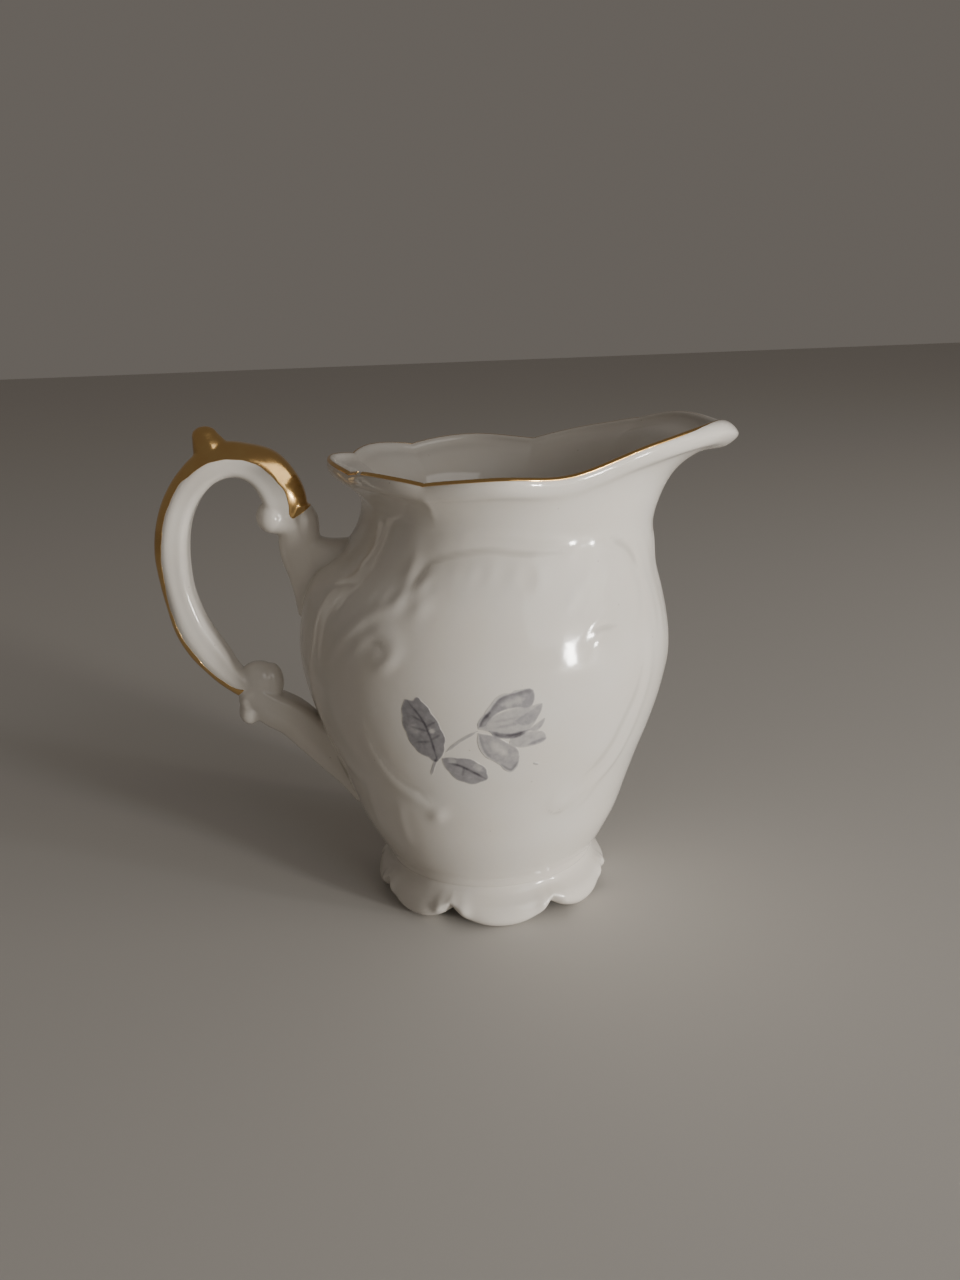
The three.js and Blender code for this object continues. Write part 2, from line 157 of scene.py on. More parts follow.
def belly_radius(degrees, height):
    lean = smoothstep(height, SHOULDER_HEIGHT, NECK_HEIGHT)
    push = neck_radius(degrees) - read_rows(BELLY, NECK_HEIGHT)
    taper = NECK_TAPER * np.maximum(height - NECK_HEIGHT, 0)
    return read_rows(BELLY, height) + push * lean - taper


def quadratic(start, middle, end, t):
    """Points of quadratic curves, one for each column."""
    return [
        tuple((1 - s) ** 2 * a + 2 * s * (1 - s) * b + s * s * c for a, b, c in zip(start, middle, end))
        for s in t
    ]


def vessel_points(degrees, sizes):
    """Points that each section passes through, from the middle of the base round to the inside floor."""
    wall = sizes.wall / MM
    radius, height, nose = mouth_edge(degrees, sizes)
    waist = NECK_WAIST - NECK_WAIST_TILT * np.cos(np.radians(degrees))
    neck = belly_radius(degrees, waist)
    flat = np.zeros_like(neck)
    reach = LIP_ROLL + SPOUT_NOSE * nose

    base = [(flat, flat + BODY_BOTTOM + 1.2), (flat + 15.0, flat + BODY_BOTTOM + 0.9)]
    belly_heights = [BODY_BOTTOM, 10.6, 12.5, 16, 20, 26, 33, 40, 47, 53, 58, 63, 68, 73, 78]
    belly = [(belly_radius(degrees, z), flat + z) for z in belly_heights]
    belly.append((belly_radius(degrees, (78 + waist) / 2), (78 + waist) / 2))
    shoulder = (radius + reach - 1.3 * nose - 0.5, height - 2.9 - 1.9 * nose)
    pull = (neck + 0.12 * (radius - neck), height - 6.0)
    flare = quadratic((neck, waist), pull, shoulder, (0, 0.25, 0.5, 0.75, 1))
    lip = [
        (radius + reach, height - 1.4 - 1.6 * nose),
        (radius + 0.72 * reach, height - 0.4 - 0.75 * nose),
        (radius + 0.1, height),
        (radius - 0.55, height - 0.25),
        (radius - 1.0, height - 1.2),
    ]
    inner_pull = (neck - wall + 0.1 * (radius - neck), height - 4.6)
    inner_neck = (neck - wall, waist)
    inner_flare = quadratic(inner_neck, inner_pull, lip[-1], (0.75, 0.5, 0.25, 0))
    inner_heights = [(waist + 76) / 2, 76, 70, 64, 58, 50, 42, 34, 28]
    inner_belly = [(belly_radius(degrees, z) - wall, flat + z) for z in inner_heights]
    floor_top, floor = 23.0, 12.8
    floor_reach = belly_radius(degrees, floor_top) - wall
    bowl = []
    for turn in np.radians([0, 15, 30, 48, 68]):
        drop = math.sin(turn) ** 0.85
        bowl.append((floor_reach * math.cos(turn) ** 0.7, flat + floor_top - (floor_top - floor) * drop))
    bowl.append((flat, flat + floor))

    groups = [base, belly, flare, lip, inner_flare, inner_belly, bowl]
    return np.stack([np.stack(point, -1) for group in groups for point in group], 1)


def spline_columns(points, counts):
    """A smooth curve through each column's points, (columns, points, axes), with counts steps a stretch."""
    gaps = np.linalg.norm(np.diff(points, axis=1), axis=2)[..., None] + 1e-9
    slopes = np.diff(points, axis=1) / gaps
    tangent = np.empty_like(points)
    before, after = gaps[:, :-1], gaps[:, 1:]
    tangent[:, 1:-1] = (slopes[:, 1:] * before + slopes[:, :-1] * after) / (before + after)
    tangent[:, 0], tangent[:, -1] = slopes[:, 0], slopes[:, -1]
    rows = []
    for k, count in enumerate(counts):
        for s in np.arange(count) / count:
            a, b = points[:, k], points[:, k + 1]
            rise = s * s * (3 - 2 * s)
            pull = tangent[:, k] * s * (1 - s) ** 2 - tangent[:, k + 1] * s * s * (1 - s)
            rows.append(a * (1 - rise) + b * rise + gaps[:, k] * pull)
    rows.append(points[:, -1])
    return np.stack(rows, 1)


# ---------------------------------------------------------------------------
# Relief under the glaze: rise, half width, then points as (degrees from the
# front towards the spout, height). The same ornament is on both sides.
# ---------------------------------------------------------------------------

RIDGES = (
    # frame over the front panel, from its bead on the handle side
    (0.60, 1.15, (-23.7, 72.6), (-25.4, 74.6), (-22.5, 77.4), (-12, 79.2), (0, 79.8), (12, 79.3),
     (22, 79.8)),
    # ruffles that hang from the frame
    (0.45, 1.00, (-20.5, 77.6), (-16.8, 75.4)),
    (0.50, 1.10, (-14.8, 78.6), (-12.4, 75.8)),
    (0.50, 1.10, (-8.6, 79.0), (-8.8, 76.0)),
    (0.45, 1.20, (-1.4, 79.6), (-2.6, 76.6)),
    (0.45, 1.20, (5.4, 79.4), (5.0, 76.2)),
    (0.50, 1.20, (12.0, 78.6), (13.4, 74.6)),
    # band above the frame
    (0.55, 1.30, (-26.5, 80.6), (-19, 82.9), (-9.9, 83.8), (0, 84.2), (12, 83.5), (22, 83.0), (31, 83.4)),
    # scroll on the handle side of the panel
    (0.75, 1.25, (-56, 59.5), (-52, 63.5), (-47, 66.8), (-41.9, 69.6), (-36, 71.3), (-31, 72.7),
     (-29.6, 75.2), (-30.8, 77.4)),
    (0.60, 1.20, (-30.2, 78.2), (-28.6, 79.8), (-31, 81.5), (-37, 81.0), (-46, 80.9), (-56, 79.2),
     (-66, 79.6)),
    (0.45, 0.85, (-36.4, 74.8), (-38.4, 71.4)),
    (0.40, 0.85, (-41.2, 74.6), (-43.6, 70.6)),
    (0.40, 0.85, (-45.4, 74.0), (-48.4, 69.0)),
    (0.35, 0.85, (-49.8, 73.2), (-53.2, 67.6)),
    # volute under it
    (0.85, 1.10, (-39.5, 67.0), (-36.2, 67.8), (-32.8, 66.9), (-31.0, 64.6), (-32.0, 62.2), (-35.4, 61.4),
     (-37.6, 63.4)),
    (0.35, 0.90, (-47, 61.5), (-43, 64.8), (-39.5, 67.0)),
    # ribs on the handle side
    (0.55, 1.40, (-61.5, 73.5), (-64.5, 68.5), (-66.0, 61.0), (-69, 54.0), (-70.5, 46), (-66, 38.5),
     (-58, 33.5), (-50, 33.0)),
    (0.45, 1.20, (-74, 75), (-78, 69), (-80, 61), (-80, 50), (-76, 40), (-70, 31)),
    (0.35, 1.00, (-55, 57), (-57, 50), (-55, 43), (-50, 38.5)),
    # lower frame on the handle side, ending in beads
    (0.50, 1.20, (-46, 50), (-44.8, 44.5), (-42.6, 40), (-38.5, 35.6), (-33.6, 33.2), (-28, 31.0),
     (-24.4, 29.0)),
    (0.30, 1.10, (-53.3, 33.0), (-57, 26), (-58, 20)),
    (0.30, 1.10, (-40, 30.5), (-42, 24), (-42, 19)),
    # flower in a ring on the spout side
    (0.55, 1.10, (22.5, 81.4), (30, 82.4), (38.2, 80.3), (44.2, 77.6), (48.0, 73.0), (47.2, 68.0),
     (42.5, 64.8)),
    (0.55, 1.35, (29.8, 76.9), (27.0, 75.0)),
    (0.55, 1.45, (24.6, 73.6), (19.8, 71.6)),
    (0.55, 1.45, (31.6, 72.4), (33.6, 69.2)),
    (0.50, 1.35, (35.0, 75.6), (39.2, 73.6)),
    (0.45, 1.20, (26.6, 70.6), (24.4, 68.4)),
    (0.60, 1.10, (24.0, 65.9), (27.6, 67.7), (32.8, 68.2), (37.4, 67.6), (41.2, 64.6), (43.5, 60.4)),
    (0.45, 0.90, (26.6, 65.4), (28.4, 64.2), (30.6, 64.9)),
    # frame down the spout side and its curl at the bottom
    (0.60, 1.25, (54, 70), (51.8, 62), (50.2, 55), (47.6, 47.5), (44.8, 41), (41.2, 36.2), (36, 33.6),
     (30, 32.0), (23.5, 29.6), (18.8, 29.4), (17.6, 31.6), (20.2, 33.0)),
    (0.45, 1.20, (36.5, 33.4), (31.0, 29.4), (25.5, 27.6)),
    (0.35, 1.10, (35.0, 61.4), (38.6, 59.2), (41.6, 55.4)),
    (0.45, 1.10, (51.5, 79.6), (55.4, 74.4), (57.6, 68.4), (57.2, 61.0)),
    (0.35, 1.00, (57, 80.5), (61.5, 74.5), (63.6, 67.0), (62.6, 58.5)),
    # shell under the spout
    (0.45, 1.30, (90, 84), (90, 76), (90, 62)),
    (0.40, 1.20, (83, 83), (82, 75), (86, 63)),
    (0.35, 1.10, (76, 81), (73.5, 74), (80, 64)),
    (0.40, 1.20, (69, 60), (74, 53), (82, 49), (90, 51)),
)
# Grooves beside the ridges: depth, half width, then points.
GROOVES = (
    (0.34, 0.95, (-27.5, 72.6), (-27.4, 75.3), (-25.2, 77.9), (-21.5, 79.7), (-16.8, 80.7), (-8.7, 81.7),
     (-2.6, 82.0), (7, 81.3), (14.7, 81.0), (23.7, 81.2)),
    (0.30, 0.90, (-38.4, 65.2), (-35.4, 65.4), (-34.2, 64.0)),
    (0.26, 1.10, (-43.0, 47.0), (-41.4, 42.0), (-38.6, 38.6), (-34.2, 36.0), (-28.5, 34.3), (-26.0, 31.6)),
    (0.30, 1.00, (39.6, 82.2), (47.0, 79.6), (52.0, 75.4)),
    (0.30, 0.90, (24.4, 64.4), (29.5, 66.2), (36.0, 66.0)),
    (0.26, 1.10, (46.6, 57.0), (43.5, 50.6), (40.3, 46.0), (37.6, 41.4), (33.8, 38.0), (29.0, 35.8)),
    (0.30, 0.90, (16.4, 29.6), (19.6, 28.0), (23.4, 28.0)),
)
# Beads: degrees, height, radius, rise.
BEADS = (
    (-23.6, 72.3, 1.7, 0.70), (-30.1, 77.9, 1.5, 0.70), (-9.9, 84.0, 1.5, 0.45), (-31.5, 32.7, 1.4, 0.55),
    (-24.2, 28.8, 1.8, 0.80), (20.2, 32.6, 1.2, 0.45), (-36.4, 63.6, 1.2, 0.40), (29.8, 73.4, 1.5, 0.45),
    (43.0, 60.0, 1.3, 0.45), (12.9, 75.3, 1.3, 0.30), (24.8, 81.2, 1.4, 0.45),
)


def catmull(points, per_stretch=10):
    """A smooth line through points, any number of axes."""
    points = np.asarray(points, float)
    line = spline_columns(points[None], [per_stretch] * (len(points) - 1))
    return line[0]


def stroke_bump(x, z, line, half_width):
    """Soft round ridge along a line: 1 on the line, 0 past its half width, thinner at its ends."""
    low, high = line.min(0) - half_width, line.max(0) + half_width
    near = (x > low[0]) & (x < high[0]) & (z > low[1]) & (z < high[1])
    bump = np.zeros_like(x)
    if not near.any():
        return bump
    place = np.stack([x[near], z[near]], -1)
    start, along = line[:-1], np.diff(line, axis=0)
    length2 = (along ** 2).sum(1)
    t = np.clip(((place[:, None] - start) * along).sum(2) / length2, 0, 1)
    apart = np.linalg.norm(place[:, None] - start - t[..., None] * along, axis=2)
    best = apart.argmin(1)
    row = np.arange(len(place))
    share = (best + t[row, best]) / len(along)
    ends = 0.45 + 0.55 * smoothstep(np.minimum(share, 1 - share), 0, 0.22)
    inside = np.clip(1 - (apart[row, best] / (half_width * ends)) ** 2, 0, 1)
    bump[near] = inside ** 1.5 * ends
    return bump


def relief_field(turn, height):
    """Rise of the moulded ornament at each place: turn in degrees from the front."""
    scale = math.radians(1) * BELLY_GIRTH
    x, z = turn * scale * read_rows(BELLY, height) / BELLY_GIRTH, height

    def lay(points):
        points = np.array(points, float)
        girth = read_rows(BELLY, points[:, 1]) / BELLY_GIRTH
        return catmull(np.stack([points[:, 0] * scale * girth, points[:, 1]], -1))

    ridges = np.zeros_like(x)
    for rise, half_width, *points in RIDGES:
        ridges = np.maximum(ridges, rise * stroke_bump(x, z, lay(points), half_width))
    for degrees, at, radius, rise in BEADS:
        girth = read_rows(BELLY, at) / BELLY_GIRTH
        apart2 = ((x - degrees * scale * girth) ** 2 + (z - at) ** 2) / radius ** 2
        ridges = np.maximum(ridges, rise * np.clip(1 - apart2, 0, 1) ** 0.8)
    grooves = np.zeros_like(x)
    for depth, half_width, *points in GROOVES:
        grooves = np.maximum(grooves, depth * stroke_bump(x, z, lay(points), half_width))
    return ridges - grooves * (ridges < 0.05)


# ---------------------------------------------------------------------------
# Mesh helpers
# ---------------------------------------------------------------------------


def new_object(name, data):
    """An object with its data, linked to the scene."""
    made = bpy.data.objects.new(name, data)
    bpy.context.scene.collection.objects.link(made)
    return made


def new_piece(name, places, triangles, values=None):
    """A smooth-shaded mesh object from places in millimetres and triangles."""
    mesh = bpy.data.meshes.new(name)
    mesh.vertices.add(len(places))
    mesh.vertices.foreach_set("co", (np.asarray(places, np.float64) * MM).astype(np.float32).ravel())
    mesh.loops.add(len(triangles) * 3)
    mesh.loops.foreach_set("vertex_index", np.asarray(triangles, np.int32).ravel())
    mesh.polygons.add(len(triangles))
    mesh.polygons.foreach_set("loop_start", np.arange(0, len(triangles) * 3, 3, dtype=np.int32))
    mesh.update(calc_edges=True)
    mesh.validate()
    mesh.shade_smooth()
    for label, numbers in (values or {}).items():
        attribute = mesh.attributes.new(label, "FLOAT", "POINT")
        attribute.data.foreach_set("value", np.asarray(numbers, np.float32))
    return new_object(name, mesh)


def places_of(mesh):
    places = np.empty(len(mesh.vertices) * 3, np.float32)
    mesh.vertices.foreach_get("co", places)
    return places.reshape(-1, 3).astype(float) / MM


def triangles_of(mesh):
    mesh.calc_loop_triangles()
    corners = np.empty(len(mesh.loop_triangles) * 3, np.int32)
    mesh.loop_triangles.foreach_get("vertices", corners)
    return corners.reshape(-1, 3)


def point_normals(places, triangles):
    a, b, c = (places[triangles[:, k]] for k in range(3))
    face = np.cross(b - a, c - a)
    total = np.zeros_like(places)
    for k in range(3):
        np.add.at(total, triangles[:, k], face)
    return total / np.maximum(np.linalg.norm(total, axis=1, keepdims=True), 1e-12)


def cut_to_field(places, triangles, field, values=()):
    """The part of a surface where field is above 0, cut cleanly along field = 0."""
    inside = field > 0
    count = inside[triangles].sum(1)
    rows = np.column_stack([places, *values])
    made, extra = {}, []

    def crossing(i, j):
        key = (i, j) if i < j else (j, i)
        if key not in made:
            i, j = key
            share = field[i] / (field[i] - field[j])
            made[key] = len(places) + len(extra)
            extra.append(rows[i] * (1 - share) + rows[j] * share)
        return made[key]

    cut = []
    for corners in triangles[(count == 1) | (count == 2)].tolist():
        while not (inside[corners[0]] and not inside[corners[2]]):
            corners = corners[1:] + corners[:1]
        a, b, c = corners
        if inside[b]:
            across, back = crossing(b, c), crossing(c, a)
            cut += [(a, b, across), (a, across, back)]
        else:
            cut.append((a, crossing(a, b), crossing(c, a)))
    kept = np.vstack([triangles[count == 3], np.array(cut, int).reshape(-1, 3)])
    used, flat = np.unique(kept, return_inverse=True)
    everything = np.vstack([rows, np.array(extra).reshape(-1, rows.shape[1])])[used]
    return everything[:, :3], flat.reshape(-1, 3), list(everything[:, 3:].T)


def quads(a, b, c, d):
    """Two triangles for each four corners."""
    return np.vstack([np.stack(corners, -1).reshape(-1, 3) for corners in ((a, b, c), (a, c, d))])


def as_skin(places, triangles, proud, sunk):
    """A closed skin around an open surface: proud of it on the outside, sunk below it inside."""
    normals = point_normals(places, triangles)
    count = len(places)
    edges = np.vstack([triangles[:, [0, 1]], triangles[:, [1, 2]], triangles[:, [2, 0]]])
    codes = edges[:, 0].astype(np.int64) * count + edges[:, 1]
    reverse = edges[:, 1].astype(np.int64) * count + edges[:, 0]
    a, b = edges[~np.isin(codes, reverse)].T
    both = np.vstack([places + normals * proud, places - normals * sunk])
    return both, np.vstack([triangles, triangles[:, ::-1] + count, quads(b, a, a + count, b + count)])


def around(rows, columns, closed_rows=False):
    """Triangles of a grid of columns round an axis, numbered column by column."""
    c, r = np.meshgrid(np.arange(columns), np.arange(rows - (0 if closed_rows else 1)), indexing="ij")
    nc, nr = (c + 1) % columns, (r + 1) % rows
    return quads(c * rows + r, nc * rows + r, nc * rows + nr, c * rows + nr)


def sheet(columns, rows):
    """Triangles of an open grid, numbered column by column."""
    c, r = np.meshgrid(np.arange(columns - 1), np.arange(rows - 1), indexing="ij")
    a = c * rows + r
    b = a + rows
    return quads(a, b, b + 1, a + 1)


def round_axis(radius, angle, height):
    """Places at a radius, an angle in radians and a height round the jug's axis."""
    x, y = AXIS_X + radius * np.cos(angle), radius * np.sin(angle)
    return np.stack(np.broadcast_arrays(x, y, height), -1)


def with_poles(grid):
    """Closed surface over columns of places that start and end on an axis, with single poles."""
    columns, rows = grid.shape[0], grid.shape[1] - 2
    places = np.vstack([grid[:, 1:-1].reshape(-1, 3), grid[0, 0], grid[0, -1]])
    c = np.arange(columns)
    n = (c + 1) % columns
    start, end = (np.full(columns, len(places) - k) for k in (2, 1))
    first = np.stack([start, n * rows, c * rows], -1)
    last = np.stack([end, c * rows + rows - 1, n * rows + rows - 1], -1)
    return places, np.vstack([around(rows, columns), first, last])


def outwards(places, triangles):
    """The closed shape with its faces pointing out."""
    a, b, c = (places[triangles[:, k]] for k in range(3))
    volume = (a * np.cross(b, c)).sum()
    return (places, triangles) if volume > 0 else (places, triangles[:, ::-1])


# ---------------------------------------------------------------------------
# Node helpers
# ---------------------------------------------------------------------------


def add_node(tree, kind, inputs=None, **settings):
    """A node with its settings, and its inputs linked to sockets or set to values."""
    node = tree.nodes.new(kind)
    for key, value in settings.items():
        setattr(node, key, value)
    for key, value in (inputs or {}).items():
        socket = node.inputs[key]
        if isinstance(value, bpy.types.NodeSocket):
            tree.links.new(value, socket)
        else:
            socket.default_value = value
    return node


def calc(tree, operation, *terms, clamp=False):
    """One step of arithmetic; gives its output socket."""
    inputs = dict(enumerate(terms))
    return add_node(tree, "ShaderNodeMath", inputs, operation=operation, use_clamp=clamp).outputs[0]


def new_tree(name, kind, inputs, outputs):
    """A node group with its named sockets: (label, type, default). Gives tree, entry and exit nodes."""
    tree = bpy.data.node_groups.new(name, kind)
    for label, socket_type, *default in inputs:
        socket = tree.interface.new_socket(label, in_out="INPUT", socket_type=socket_type)
        if default:
            socket.default_value = default[0]
    for label, socket_type in outputs:
        tree.interface.new_socket(label, in_out="OUTPUT", socket_type=socket_type)
    return tree, tree.nodes.new("NodeGroupInput"), tree.nodes.new("NodeGroupOutput")


NUMBER_SOCKETS = {int: "NodeSocketInt", float: "NodeSocketFloat"}


def geometry_tree(name, settings):
    """A tree that takes geometry, numbers with their defaults and a material, and gives geometry."""
    shape = ("Geometry", "NodeSocketGeometry")
    numbers = [(label, NUMBER_SOCKETS[type(value)], value) for label, value in settings.items()]
    inputs = (shape, *numbers, ("Material", "NodeSocketMaterial"))
    return new_tree(name, "GeometryNodeTree", inputs, (shape,))


def close_geometry(tree, entry, leave, geometry):
    """Real geometry with its material, as every tree ends."""
    real = add_node(tree, "GeometryNodeRealizeInstances", {"Geometry": geometry})
    dressed = add_node(tree, "GeometryNodeSetMaterial", {
        "Geometry": real.outputs[0], "Material": entry.outputs["Material"],
    })
    tree.links.new(dressed.outputs[0], leave.inputs[0])


def run_tree(piece, tree, values):
    """Runs a geometry tree on a piece and leaves the plain mesh it makes; gives the mesh object."""
    modifier = piece.modifiers.new(tree.name, "NODES")
    modifier.node_group = tree
    for socket in tree.interface.items_tree:
        if socket.in_out == "INPUT" and socket.name in values:
            modifier[socket.identifier] = values[socket.name]
    depsgraph = bpy.context.evaluated_depsgraph_get()
    mesh = bpy.data.meshes.new_from_object(
        piece.evaluated_get(depsgraph), preserve_all_data_layers=True, depsgraph=depsgraph
    )
    if len(mesh.vertices) == 0:
        raise RuntimeError(f"{tree.name} made nothing for {piece.name}")
    mesh.shade_smooth()
    if piece.type == "MESH":
        piece.modifiers.remove(modifier)
        piece.data = mesh
        return piece
    name = piece.name
    bpy.data.objects.remove(piece)
    return new_object(name, mesh)


def relief_tree():
    """Raises a surface along its normal by the attribute relief, softened as under glaze."""
    tree, entry, leave = geometry_tree("Relief under glaze", {"Height": 1.0, "Softening": 2})
    field = add_node(tree, "GeometryNodeInputNamedAttribute", {"Name": "relief"}, data_type="FLOAT")
    soft = add_node(tree, "GeometryNodeBlurAttribute", {
        "Value": field.outputs["Attribute"], "Iterations": entry.outputs["Softening"],
    }, data_type="FLOAT")
    rise = calc(tree, "MULTIPLY", soft.outputs["Value"], entry.outputs["Height"])
    rise = calc(tree, "MULTIPLY", rise, MM)
    normal = add_node(tree, "GeometryNodeInputNormal").outputs["Normal"]
    offset = add_node(tree, "ShaderNodeVectorMath", {0: normal, "Scale": rise}, operation="SCALE")
    moved = add_node(tree, "GeometryNodeSetPosition", {
        "Geometry": entry.outputs["Geometry"], "Offset": offset.outputs[0],
    })
    close_geometry(tree, entry, leave, moved.outputs[0])
    return tree


# Mouldings on the foot's outside: place from a lobe's middle (0) to the gap (1) and its width,
# share of the foot's height, and its width up the foot in metres.
ROLLED_EDGE = (0.76, 0.13, 0.33, 0.0024)
GAP_BEAD = (1.0, 0.15, 0.42, 0.0014)
ARCH_CURVE = 2.2
GAP_CURVE = 3.0
FLARE_DEPTH = 0.003  # metres outside the waist at which a gap is drawn in by its full bulge
INNER_FACE = -0.0004  # metres from the waist; mouldings are only outside this


def scallop_tree():
    """Draws a turned foot into petal lobes with arches between them."""
    tree, entry, leave = geometry_tree("Scalloped foot", {
        "Lobes": 8.0, "Lobe Spread": 0.077, "Axis X": 0.0, "Foot Height": 0.0086, "Waist Radius": 0.0224,
        "Arch Height": 0.0038, "Bulge": 0.0015, "Rolled Edge": 0.0003, "Bead": 0.0008,
    })
    given = entry.outputs
    times, plus, minus, over, power = (
        partial(calc, tree, step) for step in ("MULTIPLY", "ADD", "SUBTRACT", "DIVIDE", "POWER")
    )
    place = add_node(tree, "GeometryNodeInputPosition")
    apart = add_node(tree, "ShaderNodeSeparateXYZ", {0: place.outputs[0]})
    x = minus(apart.outputs["X"], given["Axis X"])
    y, z = apart.outputs["Y"], apart.outputs["Z"]
    angle = calc(tree, "ARCTAN2", y, x)
    radius = calc(tree, "SQRT", plus(times(x, x), times(y, y)))
    twice = calc(tree, "SINE", times(angle, 2.0))
    spread = plus(angle, times(twice, given["Lobe Spread"]))
    phase = times(over(spread, 2 * math.pi), given["Lobes"])
    across = times(calc(tree, "ABSOLUTE", minus(phase, calc(tree, "ROUND", phase))), 2.0)
    low = minus(1.0, over(z, given["Foot Height"]), clamp=True)
    lift = times(times(power(across, ARCH_CURVE), given["Arch Height"]), low)
    outside = minus(radius, given["Waist Radius"])
    share = over(calc(tree, "MAXIMUM", outside, 0.0), FLARE_DEPTH)
    draw = times(power(across, GAP_CURVE), times(share, given["Bulge"]))

    def hump(value, centre, width):
        away = over(minus(value, centre), width)
        return calc(tree, "EXPONENT", times(times(away, away), -1.0))

    def moulding(middle, width, height, height_width, size):
        up_foot = hump(z, times(given["Foot Height"], height), height_width)
        return times(times(hump(across, middle, width), up_foot), size)

    faces_out = calc(tree, "GREATER_THAN", outside, INNER_FACE)
    roll = moulding(*ROLLED_EDGE, given["Rolled Edge"])
    bead = moulding(*GAP_BEAD, given["Bead"])
    reach = plus(minus(radius, draw), times(plus(roll, bead), faces_out))
    position = add_node(tree, "ShaderNodeCombineXYZ", {
        "X": plus(given["Axis X"], times(reach, calc(tree, "COSINE", angle))),
        "Y": times(reach, calc(tree, "SINE", angle)),
        "Z": plus(z, lift),
    })
    moved = add_node(tree, "GeometryNodeSetPosition", {
        "Geometry": given["Geometry"], "Position": position.outputs[0],
    })
    close_geometry(tree, entry, leave, moved.outputs[0])
    return tree


def gold_line_tree():
    """A flat rounded band of gold along a curve."""
    tree, entry, leave = geometry_tree("Gold line", {"Width": 0.001, "Thickness": 0.0002})
    sides = {"Resolution": 16, "Radius": 0.5}
    ring = add_node(tree, "GeometryNodeCurvePrimitiveCircle", sides, mode="RADIUS")
    size = add_node(tree, "ShaderNodeCombineXYZ", {
        "X": entry.outputs["Width"], "Y": entry.outputs["Thickness"], "Z": 1.0,
    })
    section = add_node(tree, "GeometryNodeTransform", {"Geometry": ring.outputs[0], "Scale": size.outputs[0]})
    band = add_node(tree, "GeometryNodeCurveToMesh", {
        "Curve": entry.outputs["Geometry"], "Profile Curve": section.outputs[0], "Fill Caps": True,
    })
    close_geometry(tree, entry, leave, band.outputs[0])
    return tree


# ---------------------------------------------------------------------------
# Vessel and foot
# ---------------------------------------------------------------------------

VESSEL_COLUMNS = 360
# Steps of the mesh in each stretch between two points of a section.
STEPS_BASE = [3, 6]
STEPS_BELLY = [4, 4, 6, 7, 10, 12, 12, 12, 10, 8, 8, 8, 8, 8, 4]
STEPS_FLARE = [4, 7, 7, 7, 7, 3]
STEPS_LIP = [4, 4, 4, 4]
STEPS_INSIDE = [4] * 4 + [5] * 9 + [4] * 6
# Degrees round from the front, on the handle side, between which the ornament dies away.
RELIEF_SIDE = (-77, -70)
RELIEF_BOTTOM = (15, 20)
RELIEF_INSIDE = -0.7  # how much of the ornament shows, hollow for raised, on the inside


def vessel_grid(degrees, sizes):
    """Sections of the vessel at the given angles."""
    points = vessel_points(degrees, sizes)
    counts = STEPS_BASE + STEPS_BELLY + STEPS_FLARE + STEPS_LIP + STEPS_INSIDE
    return spline_columns(points, counts[: points.shape[1] - 1])


def outside_rows():
    """First and last row of the vessel's outside, from the waist to the lip's shoulder."""
    return sum(STEPS_BASE), sum(STEPS_BASE + STEPS_BELLY + STEPS_FLARE)


def make_vessel(sizes, material):
    degrees = np.arange(VESSEL_COLUMNS) * 360 / VESSEL_COLUMNS
    sections = vessel_grid(degrees, sizes)
    start, end = outside_rows()
    heights = sections[..., 1]
    turns = np.repeat(90 - from_spout(degrees)[:, None], sections.shape[1], 1)
    relief = relief_field(turns, heights) * smoothstep(turns, *RELIEF_SIDE)
    relief[:, :start] = 0
    relief[:, end + 1:] *= RELIEF_INSIDE
    relief *= smoothstep(heights, *RELIEF_BOTTOM)
    reach = np.maximum(sections[..., 0], 0)
    places, triangles = with_poles(round_axis(reach, np.radians(degrees)[:, None], heights))
    raised = np.append(relief[:, 1:-1].ravel(), [0, 0])
    piece = new_piece("porcelain_vessel", places, triangles, {"relief": raised})
    piece = run_tree(piece, relief_tree(), {
        "Height": sizes.relief_height, "Softening": sizes.relief_softening, "Material": material,
    })
    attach(piece, BODY)
    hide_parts("body_shell")
    return piece


# Section of the foot in the middle of a lobe, from its inner top round its outside: radius, height.
FOOT_SECTION = np.array([
    (18.5, 8.6), (18.6, 6.5), (18.8, 4.6), (19.2, 2.4), (19.9, 0.8), (20.8, 0.12), (22.2, 0.0), (23.5, 0.1),
    (24.7, 0.6), (25.5, 1.7), (25.6, 3.2), (25.0, 4.8), (23.9, 6.0), (23.0, 7.1), (22.55, 8.3), (22.8, 9.6),
    (23.5, 10.8),
])
FOOT_COLUMNS = 320


def make_foot(sizes, material):
    section = FOOT_SECTION.copy()
    drawn_height = section[0, 1]
    section[:, 1] *= np.where(section[:, 1] <= drawn_height, FOOT_HEIGHT / drawn_height, 1.0)
    line = catmull(section, 4)
    hidden_top = np.array([(21.0, line[-1, 1] - 0.2), (19.6, line[0, 1] + 0.3)])
    ring = np.vstack([line, hidden_top])
    angle = np.arange(FOOT_COLUMNS) * 2 * math.pi / FOOT_COLUMNS
    places = round_axis(ring[:, 0], angle[:, None], ring[:, 1]).reshape(-1, 3)
    piece = new_piece("scalloped_foot", places, around(len(ring), FOOT_COLUMNS, closed_rows=True))
    piece = run_tree(piece, scallop_tree(), {
        "Lobes": float(sizes.lobes), "Lobe Spread": sizes.lobe_spread, "Axis X": AXIS_X * MM,
        "Foot Height": FOOT_HEIGHT * MM, "Arch Height": sizes.arch_height, "Bulge": sizes.bulge,
        "Rolled Edge": sizes.rolled_edge, "Bead": sizes.bead, "Material": material,
    })
    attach(piece, BODY)
    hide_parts("foot_ring")
    return piece


# ---------------------------------------------------------------------------
# Handle
# ---------------------------------------------------------------------------

